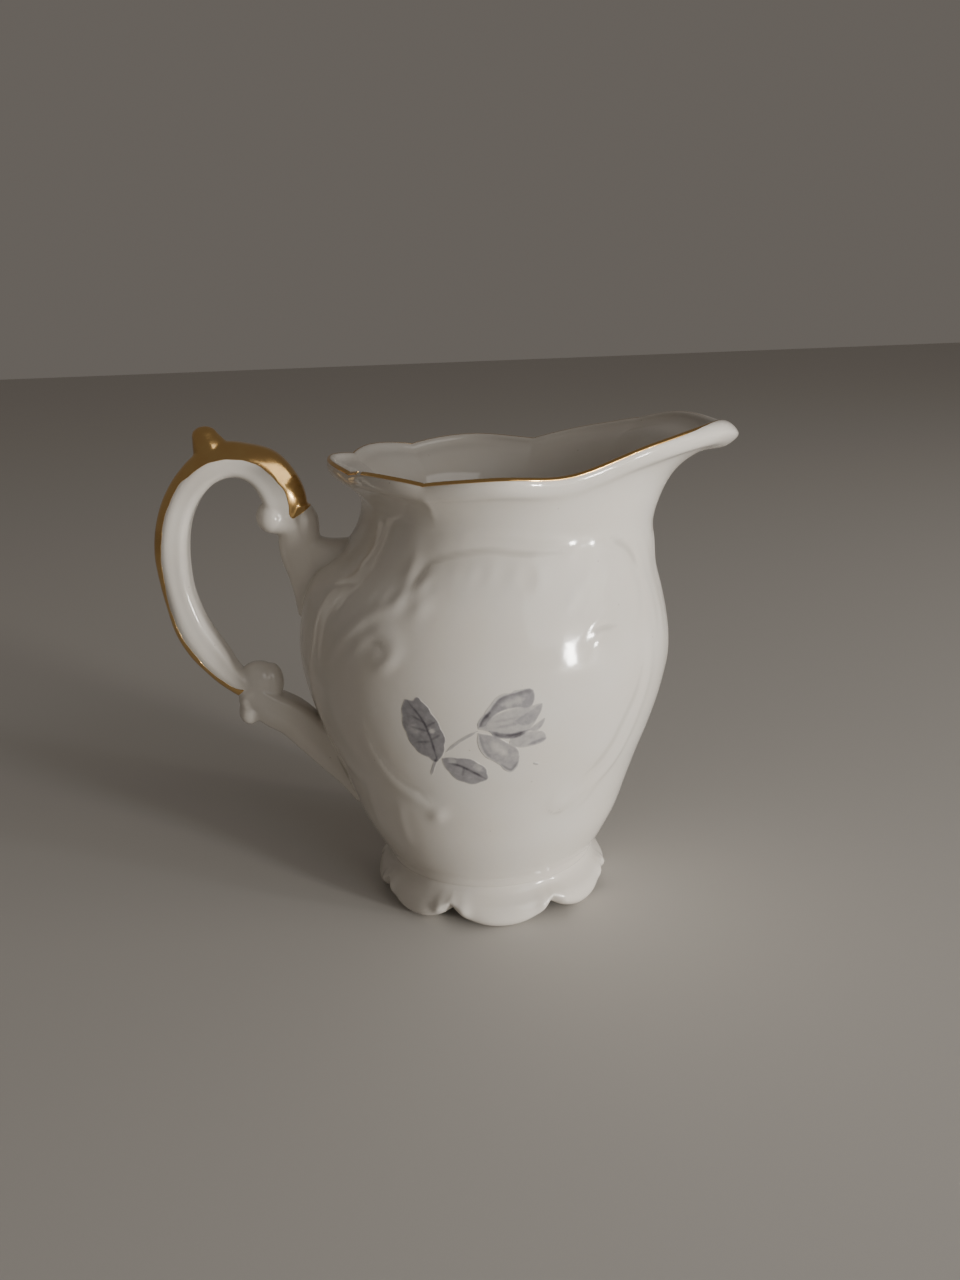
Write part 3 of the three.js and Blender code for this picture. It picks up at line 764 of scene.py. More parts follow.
# Centre line of the scroll from its inner end over the top and down: x and z from the axis.
SCROLL_LINE = (
    (-39.9, 84.6), (-40.0, 88.2), (-41.0, 91.2), (-43.2, 94.2), (-46.4, 96.2), (-50.6, 97.0),
    (-55.2, 95.6), (-58.4, 92.8), (-61.4, 88.4), (-63.2, 83.6), (-64.0, 78.8), (-63.9, 73.6),
    (-63.1, 67.8), (-61.6, 62.6), (-59.3, 57.8), (-56.3, 53.6), (-51.3, 48.5),
)
# Share of the way along, reach on the outside of the line, reach inside it, half width.
SCROLL_SIZES = (
    (0, 4.2, 4.0, 3.0), (0.05, 4.4, 4.35, 3.7), (0.11, 4.35, 4.15, 4.0), (0.15, 4.3, 3.75, 4.2),
    (0.20, 3.6, 3.4, 4.3), (0.25, 3.65, 3.5, 4.3), (0.31, 3.3, 3.5, 4.3), (0.36, 3.2, 3.4, 4.2),
    (0.45, 3.2, 3.4, 4.1), (0.56, 3.2, 3.6, 4.0), (0.66, 2.95, 3.3, 3.9), (0.71, 3.0, 3.4, 3.9),
    (0.77, 3.4, 3.6, 3.8), (0.835, 3.4, 3.8, 3.7), (0.89, 3.1, 3.6, 3.6), (0.95, 2.9, 2.5, 3.4),
    (1, 2.5, 2.1, 3.0),
)
# Half of the scroll's cross section from the middle of its crown: outward share, sideways share.
CROWN_SECTION = (
    (1.0, 0.0), (0.97, 0.36), (0.84, 0.58), (0.62, 0.78), (0.2, 1.0), (-0.3, 1.0), (-0.75, 0.96),
    (-0.95, 0.72), (-1.0, 0.36),
)
# The gilding's lower edge: share of the way along, height on the side above the centre line.
GOLD_EDGE = np.array([
    (0, 1.5), (0.012, 0.9), (0.04, 0.82), (0.075, 0.9), (0.11, 0.65), (0.19, 0.62), (0.255, 0.4),
    (0.30, 0.7), (0.34, 0.9), (0.37, 1.35), (0.41, 1.44), (0.555, 1.42), (0.61, 1.57), (0.66, 1.73),
    (0.71, 2.0), (0.80, 2.04), (0.84, 1.8), (0.89, 1.7), (0.94, 1.4), (0.98, 0.7), (1, -0.6),
])
ROUND_SECTION = tuple((math.cos(t), math.sin(t)) for t in np.radians(np.arange(0, 180, 15)))
# Bars of the handle: centre line, sizes along it in the order of the scroll's, cross section, steps.
HANDLE_BARS = (
    (SCROLL_LINE, SCROLL_SIZES, CROWN_SECTION, 260),
    # spur on the crown
    (((-53.6, 97.0), (-54.4, 99.6), (-55.0, 101.7), (-55.3, 103.7)),
     ((0, 4.4, 3.6, 3.8), (0.4, 3.7, 3.1, 3.3), (0.7, 2.8, 2.4, 2.7), (0.9, 2.2, 1.9, 2.1),
      (1, 0.9, 0.8, 1.0)), ROUND_SECTION, 40),
    # leaf down the neck
    (((-38.2, 86.4), (-37.4, 82.5), (-36.8, 78), (-36.6, 73), (-37.2, 68), (-38, 63.5)),
     ((0, 1.4, 2.2, 2.6), (0.2, 4.6, 3.2, 3.8), (0.4, 5.2, 3.4, 3.7), (0.6, 4.2, 3.0, 3.0),
      (0.8, 2.6, 2.0, 2.2), (1, 1.2, 1.0, 1.2)), ROUND_SECTION, 60),
    # block against the neck
    (((-36.6, 87), (-36.4, 83.5), (-36.4, 79.5)),
     ((0, 1.6, 1.8, 2.8), (0.35, 2.4, 2.9, 4.1), (1, 2.4, 2.9, 3.9)), ROUND_SECTION, 30),
    # from the upper volute to the block
    (((-43.6, 84.0), (-40.4, 83.4), (-37.0, 82.6)),
     ((0, 2.4, 3.0, 3.4), (0.5, 2.5, 3.0, 3.6), (1, 2.8, 2.8, 3.7)), ROUND_SECTION, 30),
    # shoulder into the wall
    (((-38, 79.6), (-32.5, 77.3), (-25, 77)),
     ((0, 4.6, 2.4, 3.4), (0.5, 5.6, 2.7, 4.0), (1, 6.0, 2.8, 4.4)), ROUND_SECTION, 30),
    # strut from the scroll's lower end down the belly
    (((-50.8, 47.6), (-46.6, 44), (-42.4, 41.2), (-38.4, 36.8), (-34.6, 31.6), (-31, 26), (-28.6, 20.5)),
     ((0, 2.8, 2.8, 3.3), (0.17, 4.2, 3.6, 3.7), (0.33, 4.2, 4.0, 3.6), (0.5, 4.0, 4.2, 3.3),
      (0.67, 3.3, 4.0, 2.9), (0.84, 2.2, 3.2, 2.3), (1, 1.0, 2.0, 1.4)), CROWN_SECTION, 110),
)
# Balls of the volutes and the leaf: middle x and z, then half sizes.
HANDLE_BALLS = (
    (-43.0, 84.9, 3.2, 4.3, 3.4), (-48.6, 50.2, 4.3, 3.5, 3.9), (-45.9, 49.4, 2.5, 3.0, 4.1),
    (-51.1, 43.0, 2.4, 3.7, 2.8), (-51.4, 45.8, 1.9, 3.3, 2.2), (-50.6, 47.6, 2.6, 3.6, 2.5),
)
BALL_STEPS = 32
# Part of the wall that the handle grows out of: degrees, heights, gap under the glaze, thickness.
WALL_DEGREES = (166, 194)
WALL_HEIGHTS = (13, 90)
WALL_SUNK = 0.12
WALL_DEPTH = 1.5


def share_along(path):
    """Share of the way along a line at each of its points."""
    length = np.r_[0, np.cumsum(np.linalg.norm(np.diff(path, axis=0), axis=1))]
    return length / length[-1]


def directions(path):
    """Unit directions along a line and out of it, at each of its points."""
    along = np.gradient(path, axis=0)
    along /= np.linalg.norm(along, axis=1, keepdims=True)
    return along, np.stack([along[:, 1], -along[:, 0]], -1)


def bar_surface(line, sizes, half_section, steps):
    """Closed bar along a line in the xz plane, with its own reach outside and inside the line."""
    path = catmull(line, 24)
    share = np.linspace(0, 1, steps)
    centre = np.stack([np.interp(share, share_along(path), path[:, k]) for k in (0, 1)], -1)
    outward = directions(centre)[1]
    rows = np.array(sizes, float)
    out, inside, wide = (read_rows(rows, share, k) for k in (1, 2, 3))
    half = np.array(half_section, float)
    other = half[::-1] * (1, -1)
    ring = np.vstack([half, (-1.0, 0.0) * np.ones((1, 2)), other[: len(half) - 1]])
    ring = spline_columns(np.vstack([ring, ring[:1]])[None], [4] * len(ring))[0][:-1]
    reach = np.where(ring[:, 0] > 0, out[:, None], inside[:, None]) * ring[:, 0]
    side = wide[:, None] * ring[:, 1]
    flat = centre[:, None] + outward[:, None] * reach[..., None]
    places = np.stack([AXIS_X + flat[..., 0], side, flat[..., 1]], -1)
    count = len(ring)
    i, j = np.meshgrid(np.arange(steps - 1), np.arange(count), indexing="ij")
    a, b = i * count + j, i * count + (j + 1) % count
    j = np.arange(count)
    n = (j + 1) % count
    start, last = steps * count, (steps - 1) * count
    near = np.stack([np.full(count, start), j, n], -1)
    far = np.stack([np.full(count, start + 1), last + n, last + j], -1)
    ends = [places[0].mean(0), places[-1].mean(0)]
    triangles = np.vstack([quads(a, a + count, b + count, b), near, far])
    return outwards(np.vstack([places.reshape(-1, 3), *ends]), triangles)


def ball_surface(x, z, rx, ry, rz):
    up = np.radians(np.linspace(-90, 90, BALL_STEPS))
    angle = np.arange(BALL_STEPS)[:, None] * 2 * math.pi / BALL_STEPS
    across, height = np.cos(up), np.sin(up) * np.ones((BALL_STEPS, 1))
    grid = np.stack([
        AXIS_X + x + rx * across * np.cos(angle), ry * across * np.sin(angle), z + rz * height,
    ], -1)
    return outwards(*with_poles(grid))


def wall_under_handle(sizes):
    """A slab just inside the vessel's wall, so that the handle flows on to it with a fillet."""
    degrees = np.linspace(*WALL_DEGREES, 41)
    heights = np.linspace(*WALL_HEIGHTS, 120)
    start, end = outside_rows()
    radius = np.stack([
        np.interp(heights, section[start:end, 1], section[start:end, 0])
        for section in vessel_grid(degrees, sizes)
    ])
    places = round_axis(radius, np.radians(degrees)[:, None], heights).reshape(-1, 3)
    triangles = sheet(len(degrees), len(heights))
    return outwards(*as_skin(places, triangles, -WALL_SUNK, WALL_DEPTH))


def melted_together(name, shapes, grain, smoothing):
    """One skin over overlapping closed shapes, with soft fillets where they meet."""
    places = [shape_places for shape_places, _ in shapes]
    starts = np.cumsum([0] + [len(shape_places) for shape_places in places])
    triangles = [shape_triangles + start for (_, shape_triangles), start in zip(shapes, starts)]
    piece = new_piece(name, np.vstack(places), np.vstack(triangles))
    remesh = piece.modifiers.new("Melt", "REMESH")
    remesh.mode = "VOXEL"
    remesh.voxel_size = grain
    smooth = piece.modifiers.new("Soften", "SMOOTH")
    smooth.factor = 0.5
    smooth.iterations = smoothing
    depsgraph = bpy.context.evaluated_depsgraph_get()
    mesh = bpy.data.meshes.new_from_object(piece.evaluated_get(depsgraph))
    piece.modifiers.clear()
    piece.data = mesh
    mesh.shade_smooth()
    return piece


def along_scroll(places):
    """Share of the way along the scroll, how far outside its centre line, and how far past its ends."""
    path = catmull(SCROLL_LINE, 30)
    shares = share_along(path)
    along, outward = directions(path)
    flat = np.stack([places[:, 0] - AXIS_X, places[:, 2]], -1)
    found = []
    for part in np.array_split(flat, len(flat) // 20000 + 1):
        apart = part[:, None] - path
        best = (apart ** 2).sum(2).argmin(1)
        away = apart[np.arange(len(part)), best]
        height = (away * outward[best]).sum(1)
        beyond = np.abs((away * along[best]).sum(1))
        found.append(np.stack([shares[best], height, beyond]))
    return np.hstack(found)


def make_handle(sizes, vessel, material):
    shapes = [bar_surface(*bar) for bar in HANDLE_BARS]
    shapes.append(wall_under_handle(vessel))
    shapes += [ball_surface(*ball) for ball in HANDLE_BALLS]
    piece = melted_together("scroll_handle", shapes, sizes.grain, sizes.smoothing)
    piece.data.materials.append(material)
    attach(piece, BODY)
    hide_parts("handle")
    return piece


# ---------------------------------------------------------------------------
# Gilding
# ---------------------------------------------------------------------------

# Limits of the handle's gold, in millimetres: how far past the scroll's ends, highest above its
# centre line, lowest height, and nearest to the axis.
GOLD_PAST_ENDS = 1.2
GOLD_TOP = 13
GOLD_BOTTOM = 47.2
GOLD_FORWARD = -34
GOLD_SUNK = 0.06
# Straight edge of the gold over the upper volute: a point on it, and the direction into the gold.
VOLUTE_EDGE = (-38.4, 84.7)
VOLUTE_EDGE_SIDE = (-0.53, 0.84)
VOLUTE_SHARE = 0.08
# Share of the way along at which the gold ends, and the millimetres that the whole way counts as.
GOLD_END = 0.995
GOLD_END_SCALE = 60
# Waver of the brush along the gold's edge: its height, then radians over the whole way and at its start.
GOLD_WAVERS = ((0.06, 61, 1), (0.03, 149, 0))


def make_handle_gilding(handle, sizes, material):
    places, triangles = places_of(handle.data), triangles_of(handle.data)
    x, z = places[:, 0] - AXIS_X, places[:, 2]
    share, height, beyond = along_scroll(places)
    waver = sum(size * np.sin(share * ripples + start) for size, ripples, start in GOLD_WAVERS)
    over_volute = VOLUTE_EDGE_SIDE[1] * (z - VOLUTE_EDGE[1]) + VOLUTE_EDGE_SIDE[0] * (x - VOLUTE_EDGE[0])
    field = np.minimum.reduce([
        height - read_rows(GOLD_EDGE, share) + waver,
        GOLD_PAST_ENDS - beyond,
        np.clip(GOLD_TOP - height, -1, 1),
        np.where(share < VOLUTE_SHARE, over_volute, 3),
        (GOLD_END - share) * GOLD_END_SCALE,
    ])
    field[(z < GOLD_BOTTOM) | (x > GOLD_FORWARD)] = -1
    places, triangles, _ = cut_to_field(places, triangles, field)
    skin, faces = as_skin(places, triangles, sizes.coat / MM, GOLD_SUNK)
    piece = new_piece("handle_gold", skin, faces)
    piece.data.materials.append(material)
    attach(piece, BODY)
    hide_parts("handle_gilding")
    return piece


# Degrees between which the gold is worn off the mouth's edge.
RIM_GOLD_WORN = (220.5, 223.5)
RIM_GOLD_STEP = 0.5
RIM_GOLD_TILT = 40  # degrees by which the flat of the line leans outwards, less on the spout's nose
RIM_GOLD_NOSE_TILT = 16


def make_rim_gilding(vessel, sizes, material):
    degrees = np.arange(RIM_GOLD_WORN[1], RIM_GOLD_WORN[0] + 360, RIM_GOLD_STEP)
    radius, height, nose = mouth_edge(degrees, vessel)
    reach = sizes.rim_reach / MM
    places = round_axis(radius + reach, np.radians(degrees), height - 0.5 * reach) * MM
    curve = bpy.data.curves.new("rim_gold", "CURVE")
    curve.dimensions = "3D"
    curve.twist_mode = "Z_UP"
    line = curve.splines.new("POLY")
    line.points.add(len(degrees) - 1)
    line.points.foreach_set("co", np.column_stack([places, np.ones(len(places))]).ravel())
    line.points.foreach_set("tilt", np.radians(RIM_GOLD_TILT - RIM_GOLD_NOSE_TILT * nose))
    piece = run_tree(new_object("rim_gold", curve), gold_line_tree(), {
        "Width": sizes.rim_width, "Thickness": sizes.rim_thickness, "Material": material,
    })
    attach(piece, BODY)
    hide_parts("rim_gilding")
    return piece


# ---------------------------------------------------------------------------
# Printed rose, in millimetres round the belly from the front towards the
# spout, and height
# ---------------------------------------------------------------------------

PRINT_PER_DEGREE = 0.667  # print millimetres in a degree round the belly
PRINT_ACROSS = (-20.5, 10.5)
PRINT_UP = (36.0, 59.0)
PRINT_SUNK = 0.08
PRINT_SOFT_EDGE = 1.25  # how much wider than its half width a stroke fades out
PRINT_MARGIN = 1.2  # how far outside an outline it is still worked out
STROKE_CUT = 0.35  # strength of a dark stroke at which its own print ends
TEETH_CUT = 0.16  # how deep the gaps between a leaf's teeth go, and how high the teeth are
TEETH_HEIGHT = 0.24
# Tone of its ground from 0 light to 1 dark, teeth along its edge, outline.
PRINT_SHAPES = (
    # leaf
    (0.62, 11, ((-18.5, 55.7), (-17.1, 55.5), (-15.9, 56.2), (-14.3, 54.7), (-13.1, 52.8), (-11.9, 50.3),
                (-11.3, 47.3), (-11.9, 44.8), (-13.7, 42.3), (-15.5, 43.3), (-17.6, 44.7), (-18.8, 47.3),
                (-19.4, 50.1), (-19.3, 52.8))),
    # low leaf
    (0.55, 7, ((-12.7, 43.4), (-9.8, 43.7), (-5.9, 42.9), (-3.7, 40.7), (-3.5, 38.7), (-6.3, 37.3),
               (-9.4, 38.0), (-11.8, 40.5))),
    # outer petal
    (0.28, 0, ((1.0, 47.8), (4.2, 48.8), (7.6, 48.2), (8.0, 46.7), (4.8, 45.5), (2.2, 45.6), (0.8, 46.4))),
    # right petal
    (0.34, 0, ((4.2, 49.2), (6.2, 50.6), (7.5, 51.4), (7.2, 50.0), (5.6, 48.6))),
    # cup
    (0.27, 0, ((-5, 50), (-2.7, 52.2), (1.8, 54), (4.4, 54.1), (6.9, 54.4), (6.4, 52.6), (5.6, 50.6),
               (4.3, 49.1), (1.5, 48.2), (-2.7, 49.3))),
    # top petal
    (0.52, 0, ((-5.0, 50.2), (-4.3, 52.0), (-2.8, 53.9), (-1.0, 56.2), (1.9, 57.1), (5.1, 57.4), (5.5, 56.2),
               (4.7, 53.9), (1.8, 54.0), (-0.9, 53.4), (-2.7, 51.9), (-3.8, 50.4))),
    # side petal
    (0.44, 0, ((1.6, 51.4), (4.6, 53.3), (6.9, 54.4), (6.6, 52.6), (5.2, 50.6), (3.2, 50.2))),
    # low petal
    (0.40, 0, ((-5.1, 49.2), (-4.7, 46.6), (-4.0, 44.6), (-2.6, 43.0), (-1.0, 41.7), (1.3, 40.1), (2.8, 42.4),
               (2.7, 44.7), (0.4, 46.8), (-2.6, 48.6))),
)
# Change of tone, half width, then the line.
PRINT_STROKES = (
    (0.35, 0.30, (-17.9, 55.4), (-15.1, 51.2), (-14.2, 48), (-13.5, 42.8)),
    (0.22, 0.30, (-14.9, 51.0), (-17.4, 52.4)),
    (0.22, 0.30, (-14.5, 49.2), (-18.0, 50.0)),
    (0.22, 0.30, (-14.1, 47.0), (-17.2, 46.6)),
    (0.20, 0.30, (-14.6, 50.2), (-12.8, 51.4)),
    (0.20, 0.30, (-14.1, 47.4), (-12.2, 48.6)),
    (-0.45, 0.70, (-13.9, 49.8), (-13.5, 48.9)),
    (-0.22, 1.20, (-16.8, 48.4), (-17.8, 50.6)),
    (0.40, 0.38, (-13.5, 43.5), (-15.5, 39.0)),
    (0.40, 0.34, (-11.4, 42.2), (-9.9, 42.0), (-6.4, 40.2), (-3.7, 38.4)),
    (-0.25, 0.80, (-6.4, 42.0), (-4.6, 40.6)),
    (-0.20, 0.80, (-11.2, 42.4), (-9.6, 43.0)),
    (0.18, 0.30, (-8.2, 41.4), (-8.8, 39.2)),
    (0.32, 0.36, (-11.5, 44.8), (-8.5, 47.4), (-5.0, 49.6)),
    (0.22, 0.70, (-3.9, 52.3), (-2.5, 54.0), (-0.9, 56.0), (1.4, 56.9)),
    (0.40, 0.55, (-5.0, 50.2), (-4.2, 51.8), (-2.8, 53.3)),
    (0.20, 0.60, (1.0, 56.9), (5.2, 57.2)),
    (-0.25, 0.90, (-0.4, 54.8), (3.4, 55.7)),
    (0.85, 0.60, (-2.9, 49.4), (-1.0, 48.4), (1.5, 48.2), (4.4, 49.1)),
    (0.30, 0.45, (4.5, 46.0), (8.0, 46.9)),
    (0.22, 0.60, (-5.0, 49.0), (-4.3, 45.4), (-2.6, 43.0)),
    (0.30, 0.50, (-1.0, 41.8), (1.3, 40.3), (2.8, 42.4)),
    (-0.25, 1.00, (-2.6, 46.8), (0.4, 44.0)),
    (0.15, 0.40, (-1.6, 50.2), (2.6, 50.8)),
    (0.12, 0.35, (-2.0, 51.4), (3.0, 52.2)),
    (0.22, 0.28, (5.7, 41.5), (7.0, 41.0)),
)


def inside_distance(x, z, outline):
    """Distance inside a closed outline, negative outside it, and the share of the way round."""
    a, b = outline, np.roll(outline, -1, 0)
    along = b - a
    place = np.stack([x, z], -1)
    t = np.clip(((place[:, None] - a) * along).sum(2) / (along ** 2).sum(1), 0, 1)
    apart = np.linalg.norm(place[:, None] - a - t[..., None] * along, axis=2)
    best = apart.argmin(1)
    crosses = (a[:, 1] > z[:, None]) != (b[:, 1] > z[:, None])
    at = a[:, 0] + (z[:, None] - a[:, 1]) / np.where(along[:, 1] == 0, 1e-9, along[:, 1]) * along[:, 0]
    inside = (crosses & (x[:, None] < at)).sum(1) % 2 == 1
    share = (best + t[np.arange(len(x)), best]) / len(a)
    return np.where(inside, 1, -1) * apart.min(1), share


def print_fields(x, z):
    """Where there is print (above 0) and its tone."""
    cover = np.full(len(x), -5.0)
    tone = np.zeros(len(x))
    for ground, teeth, outline in PRINT_SHAPES:
        smooth = catmull(outline + outline[:1], 4)[:-1]
        low, high = smooth.min(0) - PRINT_MARGIN, smooth.max(0) + PRINT_MARGIN
        near = (x > low[0]) & (x < high[0]) & (z > low[1]) & (z < high[1])
        depth, share = inside_distance(x[near], z[near], smooth)
        if teeth:
            depth = depth - TEETH_CUT + TEETH_HEIGHT * np.abs(np.sin(math.pi * share * teeth))
        cover[near] = np.maximum(cover[near], depth)
        weight = smoothstep(depth, -0.1, 0.3)
        tone[near] = tone[near] * (1 - weight) + ground * weight
    for change, half_width, *points in PRINT_STROKES:
        bump = stroke_bump(x, z, catmull(points, 8), half_width * PRINT_SOFT_EDGE)
        tone += change * bump
        if change > 0:
            cover = np.maximum(cover, (bump - STROKE_CUT) * half_width)
    return cover, np.clip(tone, 0, 1)


def print_patch(vessel, step):
    """The front of the belly as a fine open patch, with its place in print millimetres."""
    x, z = np.arange(*PRINT_ACROSS, step), np.arange(*PRINT_UP, step)
    start, end = outside_rows()
    section = vessel_grid(np.array([270.0]), vessel)[0, start:end]
    radius = np.interp(z, section[:, 1], section[:, 0])
    places = round_axis(radius, np.radians(x / PRINT_PER_DEGREE - 90)[:, None], z).reshape(-1, 3)
    gx, gz = (grid.ravel() for grid in np.meshgrid(x, z, indexing="ij"))
    return places, sheet(len(x), len(z)), gx, gz


def make_prints(vessel, sizes, material):
    places, triangles, x, z = print_patch(vessel, sizes.fineness / MM)
    cover, tone = print_fields(x, z)
    places, triangles, (tone,) = cut_to_field(places, triangles, cover, [tone])
    skin, faces = as_skin(places, triangles, sizes.film / MM, PRINT_SUNK)
    tones = {"ink_tone": np.tile(tone, 2)}
    front = new_piece("rose_print_front", skin, faces, tones)
    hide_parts("rose_transfer_front")
    back = new_piece("rose_print_back", skin * (1, -1, 1), faces[:, ::-1], tones)
    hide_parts("rose_transfer_back")
    for piece in (front, back):
        piece.data.materials.append(material)
        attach(piece, BODY)
    return front, back


# ---------------------------------------------------------------------------
# Finishes
# ---------------------------------------------------------------------------

SPECK_BROWN = (0.25, 0.20, 0.15, 1)
GOLD_WEAR = (0.10, 0.06, 0.03, 1)


def ranged(tree, value, start, end, low=0.0, high=1.0):
    """A value that goes from start to end, spread from low to high."""
    return add_node(tree, "ShaderNodeMapRange", {
        "Value": value, "From Min": start, "From Max": end, "To Min": low, "To Max": high,
    }).outputs["Result"]


def cloud_group():
    """Soft uneven patches and fine specks, as clay and firing leave them."""
    name = "Kiln clouding"
    if name in bpy.data.node_groups:
        return bpy.data.node_groups[name]
    tree, entry, leave = new_tree(name, "ShaderNodeTree", (
        ("Patch Size", "NodeSocketFloat", 0.02),
        ("Speck Size", "NodeSocketFloat", 0.0006),
        ("Speck Amount", "NodeSocketFloat", 0.3),
    ), (("Clouds", "NodeSocketFloat"), ("Specks", "NodeSocketFloat"), ("Ripple", "NodeSocketFloat")))
    place = add_node(tree, "ShaderNodeTexCoord")
    clouds = add_node(tree, "ShaderNodeTexNoise", {
        "Vector": place.outputs["Object"], "Scale": calc(tree, "DIVIDE", 1.0, entry.outputs["Patch Size"]),
        "Detail": 4.0, "Roughness": 0.55,
    })
    ripple = add_node(tree, "ShaderNodeTexNoise", {
        "Vector": place.outputs["Object"], "Scale": 260.0, "Detail": 2.0, "Roughness": 0.4,
    })
    grains = add_node(tree, "ShaderNodeTexVoronoi", {
        "Vector": place.outputs["Object"], "Scale": calc(tree, "DIVIDE", 0.25, entry.outputs["Speck Size"]),
    })
    near = ranged(tree, grains.outputs["Distance"], 0.05, 0.11, 1.0, 0.0)
    picked = add_node(tree, "ShaderNodeSeparateXYZ", {0: grains.outputs["Color"]})
    chance = calc(tree, "LESS_THAN", picked.outputs["X"], 0.06)
    specks = calc(tree, "MULTIPLY", calc(tree, "MULTIPLY", near, chance), entry.outputs["Speck Amount"])
    tree.links.new(clouds.outputs["Fac"], leave.inputs["Clouds"])
    tree.links.new(specks, leave.inputs["Specks"])
    tree.links.new(ripple.outputs["Fac"], leave.inputs["Ripple"])
    return tree


def kiln_clouds(tree, patch, speck, amount):
    """Outputs of the clouding: clouds, specks and ripple."""
    inputs = {"Patch Size": patch, "Speck Size": speck, "Speck Amount": amount}
    return add_node(tree, "ShaderNodeGroup", inputs, node_tree=cloud_group()).outputs


def opaque(colour):
    return (*colour, 1)


def new_material(name):
    material = bpy.data.materials.new(name)
    material.use_nodes = True
    tree = material.node_tree
    shader = next(node for node in tree.nodes if node.type == "BSDF_PRINCIPLED")
    return material, tree, shader


def mix_colour(tree, share, first, second):
    return add_node(tree, "ShaderNodeMix", {0: share, 6: first, 7: second}, data_type="RGBA").outputs[2]


def set_surface(tree, shader, colour, roughness):
    tree.links.new(colour, shader.inputs["Base Color"])
    tree.links.new(roughness, shader.inputs["Roughness"])


def add_ripple(tree, shader, ripple, strength, depth):
    bump = add_node(tree, "ShaderNodeBump", {"Height": ripple, "Strength": strength, "Distance": depth})
    tree.links.new(bump.outputs["Normal"], shader.inputs["Normal"])


def glazed_porcelain(finish):
    """Ivory porcelain under clear glaze, with painted shade that darkens the grooves of the relief."""
    material, tree, shader = new_material("Glazed porcelain")
    kiln = kiln_clouds(tree, 0.016, 0.0005, 0.35)
    share = ranged(tree, kiln["Clouds"], 0.3, 0.7)
    body = mix_colour(tree, share, opaque(finish.porcelain), opaque(finish.porcelain_warm))
    # Painted shade: where the relief dips into a groove, the colour is mixed towards the darker groove shade
    # colour.
    relief = add_node(tree, "ShaderNodeAttribute", attribute_name="relief")
    groove_shade = ranged(tree, relief.outputs["Fac"], -0.30, 0.0, 0.55, 0.0)
    body = mix_colour(tree, groove_shade, body, opaque(finish.groove_shade_and_mottle))
    body = mix_colour(tree, kiln["Specks"], body, SPECK_BROWN)
    set_surface(tree, shader, body, ranged(tree, kiln["Clouds"], 0.3, 0.7, 0.07, 0.13))
    add_ripple(tree, shader, kiln["Ripple"], 0.10, 0.0004)
    shader.inputs["IOR"].default_value = 1.52
    return material


def dried_slip(finish):
    """Matt off-white clay that lutes two pieces together."""
    material, tree, shader = new_material("Dried slip")
    kiln = kiln_clouds(tree, 0.004, 0.0003, 0.6)
    body = mix_colour(tree, kiln["Clouds"], opaque(finish.slip), opaque(finish.groove_shade_and_mottle))
    set_surface(tree, shader, body, ranged(tree, kiln["Clouds"], 0.0, 1.0, 0.55, 0.8))
    add_ripple(tree, shader, kiln["Ripple"], 0.4, 0.0003)
    return material


def bright_gold(finish):
    """Burnished gold, uneven from the brush, with specks of wear."""
    material, tree, shader = new_material("Bright gold")
    kiln = kiln_clouds(tree, 0.003, 0.0004, 0.8)
    tint = mix_colour(tree, kiln["Clouds"], opaque(finish.gold), opaque(finish.gold_thin))
    tint = mix_colour(tree, kiln["Specks"], tint, GOLD_WEAR)
    shader.inputs["Metallic"].default_value = 1.0
    set_surface(tree, shader, tint, ranged(tree, kiln["Clouds"], 0.3, 0.7, 0.13, 0.24))
    add_ripple(tree, shader, kiln["Ripple"], 0.25, 0.0003)
    return material


def grey_print(finish):
    """Grey printed colour fired into the glaze, lighter and darker with its tone."""
    material, tree, shader = new_material("Grey print")
    kiln = kiln_clouds(tree, 0.0012, 0.00025, 0.5)
    tone = add_node(tree, "ShaderNodeAttribute", attribute_name="ink_tone")
    mottle = calc(tree, "MULTIPLY", calc(tree, "SUBTRACT", kiln["Clouds"], 0.5), 0.45)
    mottled = calc(tree, "ADD", tone.outputs["Fac"], mottle, clamp=True)
    ramp = add_node(tree, "ShaderNodeValToRGB", {"Fac": mottled})
    stops = ramp.color_ramp.elements
    stops[0].color = opaque(finish.print_light)
    stops[1].color = opaque(finish.print_dark)
    stops.new(0.5).color = opaque(finish.print_middle)
    set_surface(tree, shader, ramp.outputs["Color"], ranged(tree, kiln["Clouds"], 0.0, 1.0, 0.10, 0.2))
    return material


MAKERS = {
    "Glazed porcelain": glazed_porcelain,
    "Dried slip": dried_slip,
    "Bright gold": bright_gold,
    "Grey print": grey_print,
}


def finish_named(name, finish):
    """The material of that name, made the first time it is asked for."""
    return bpy.data.materials.get(name) or MAKERS[name](finish)


def dress_node(node, material):
    """Gives a frame node its finished material."""
    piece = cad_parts[node]
    if not piece.material_slots:
        raise RuntimeError(f"{node} has no material slot")
    for slot in piece.material_slots:
        slot.material = material


# ---------------------------------------------------------------------------
# Stage
# ---------------------------------------------------------------------------

# The camera: millimetres in front of the axis and above the floor, then angles in degrees.
VIEW_DISTANCE = 228.49
VIEW_HEIGHT = 123.01
VIEW_DOWN = 16.39
VIEW_SWING = -0.219
VIEW_ROLL = -2.033
JUG_TURN = 5.0
FLOOR_HALF = 3.0
LAMP_AIM = Vector((0, 0, 0.05))
# Name, setting that gives its power and share of it, degrees from the front towards the spout,
# degrees up, distance, width and height in metres, colour.
LAMPS = (
    ("key", "key_power", 1.0, 46, 1.5, 0.8, 0.085, 0.11, (1.0, 0.97, 0.92)),
    ("second", "key_power", 0.3, 61, 1.5, 0.8, 0.05, 0.06, (1.0, 0.97, 0.92)),
    ("fill", "fill_power", 1.0, 48, 22, 1.3, 1.3, 0.8, (1.0, 0.97, 0.93)),
)


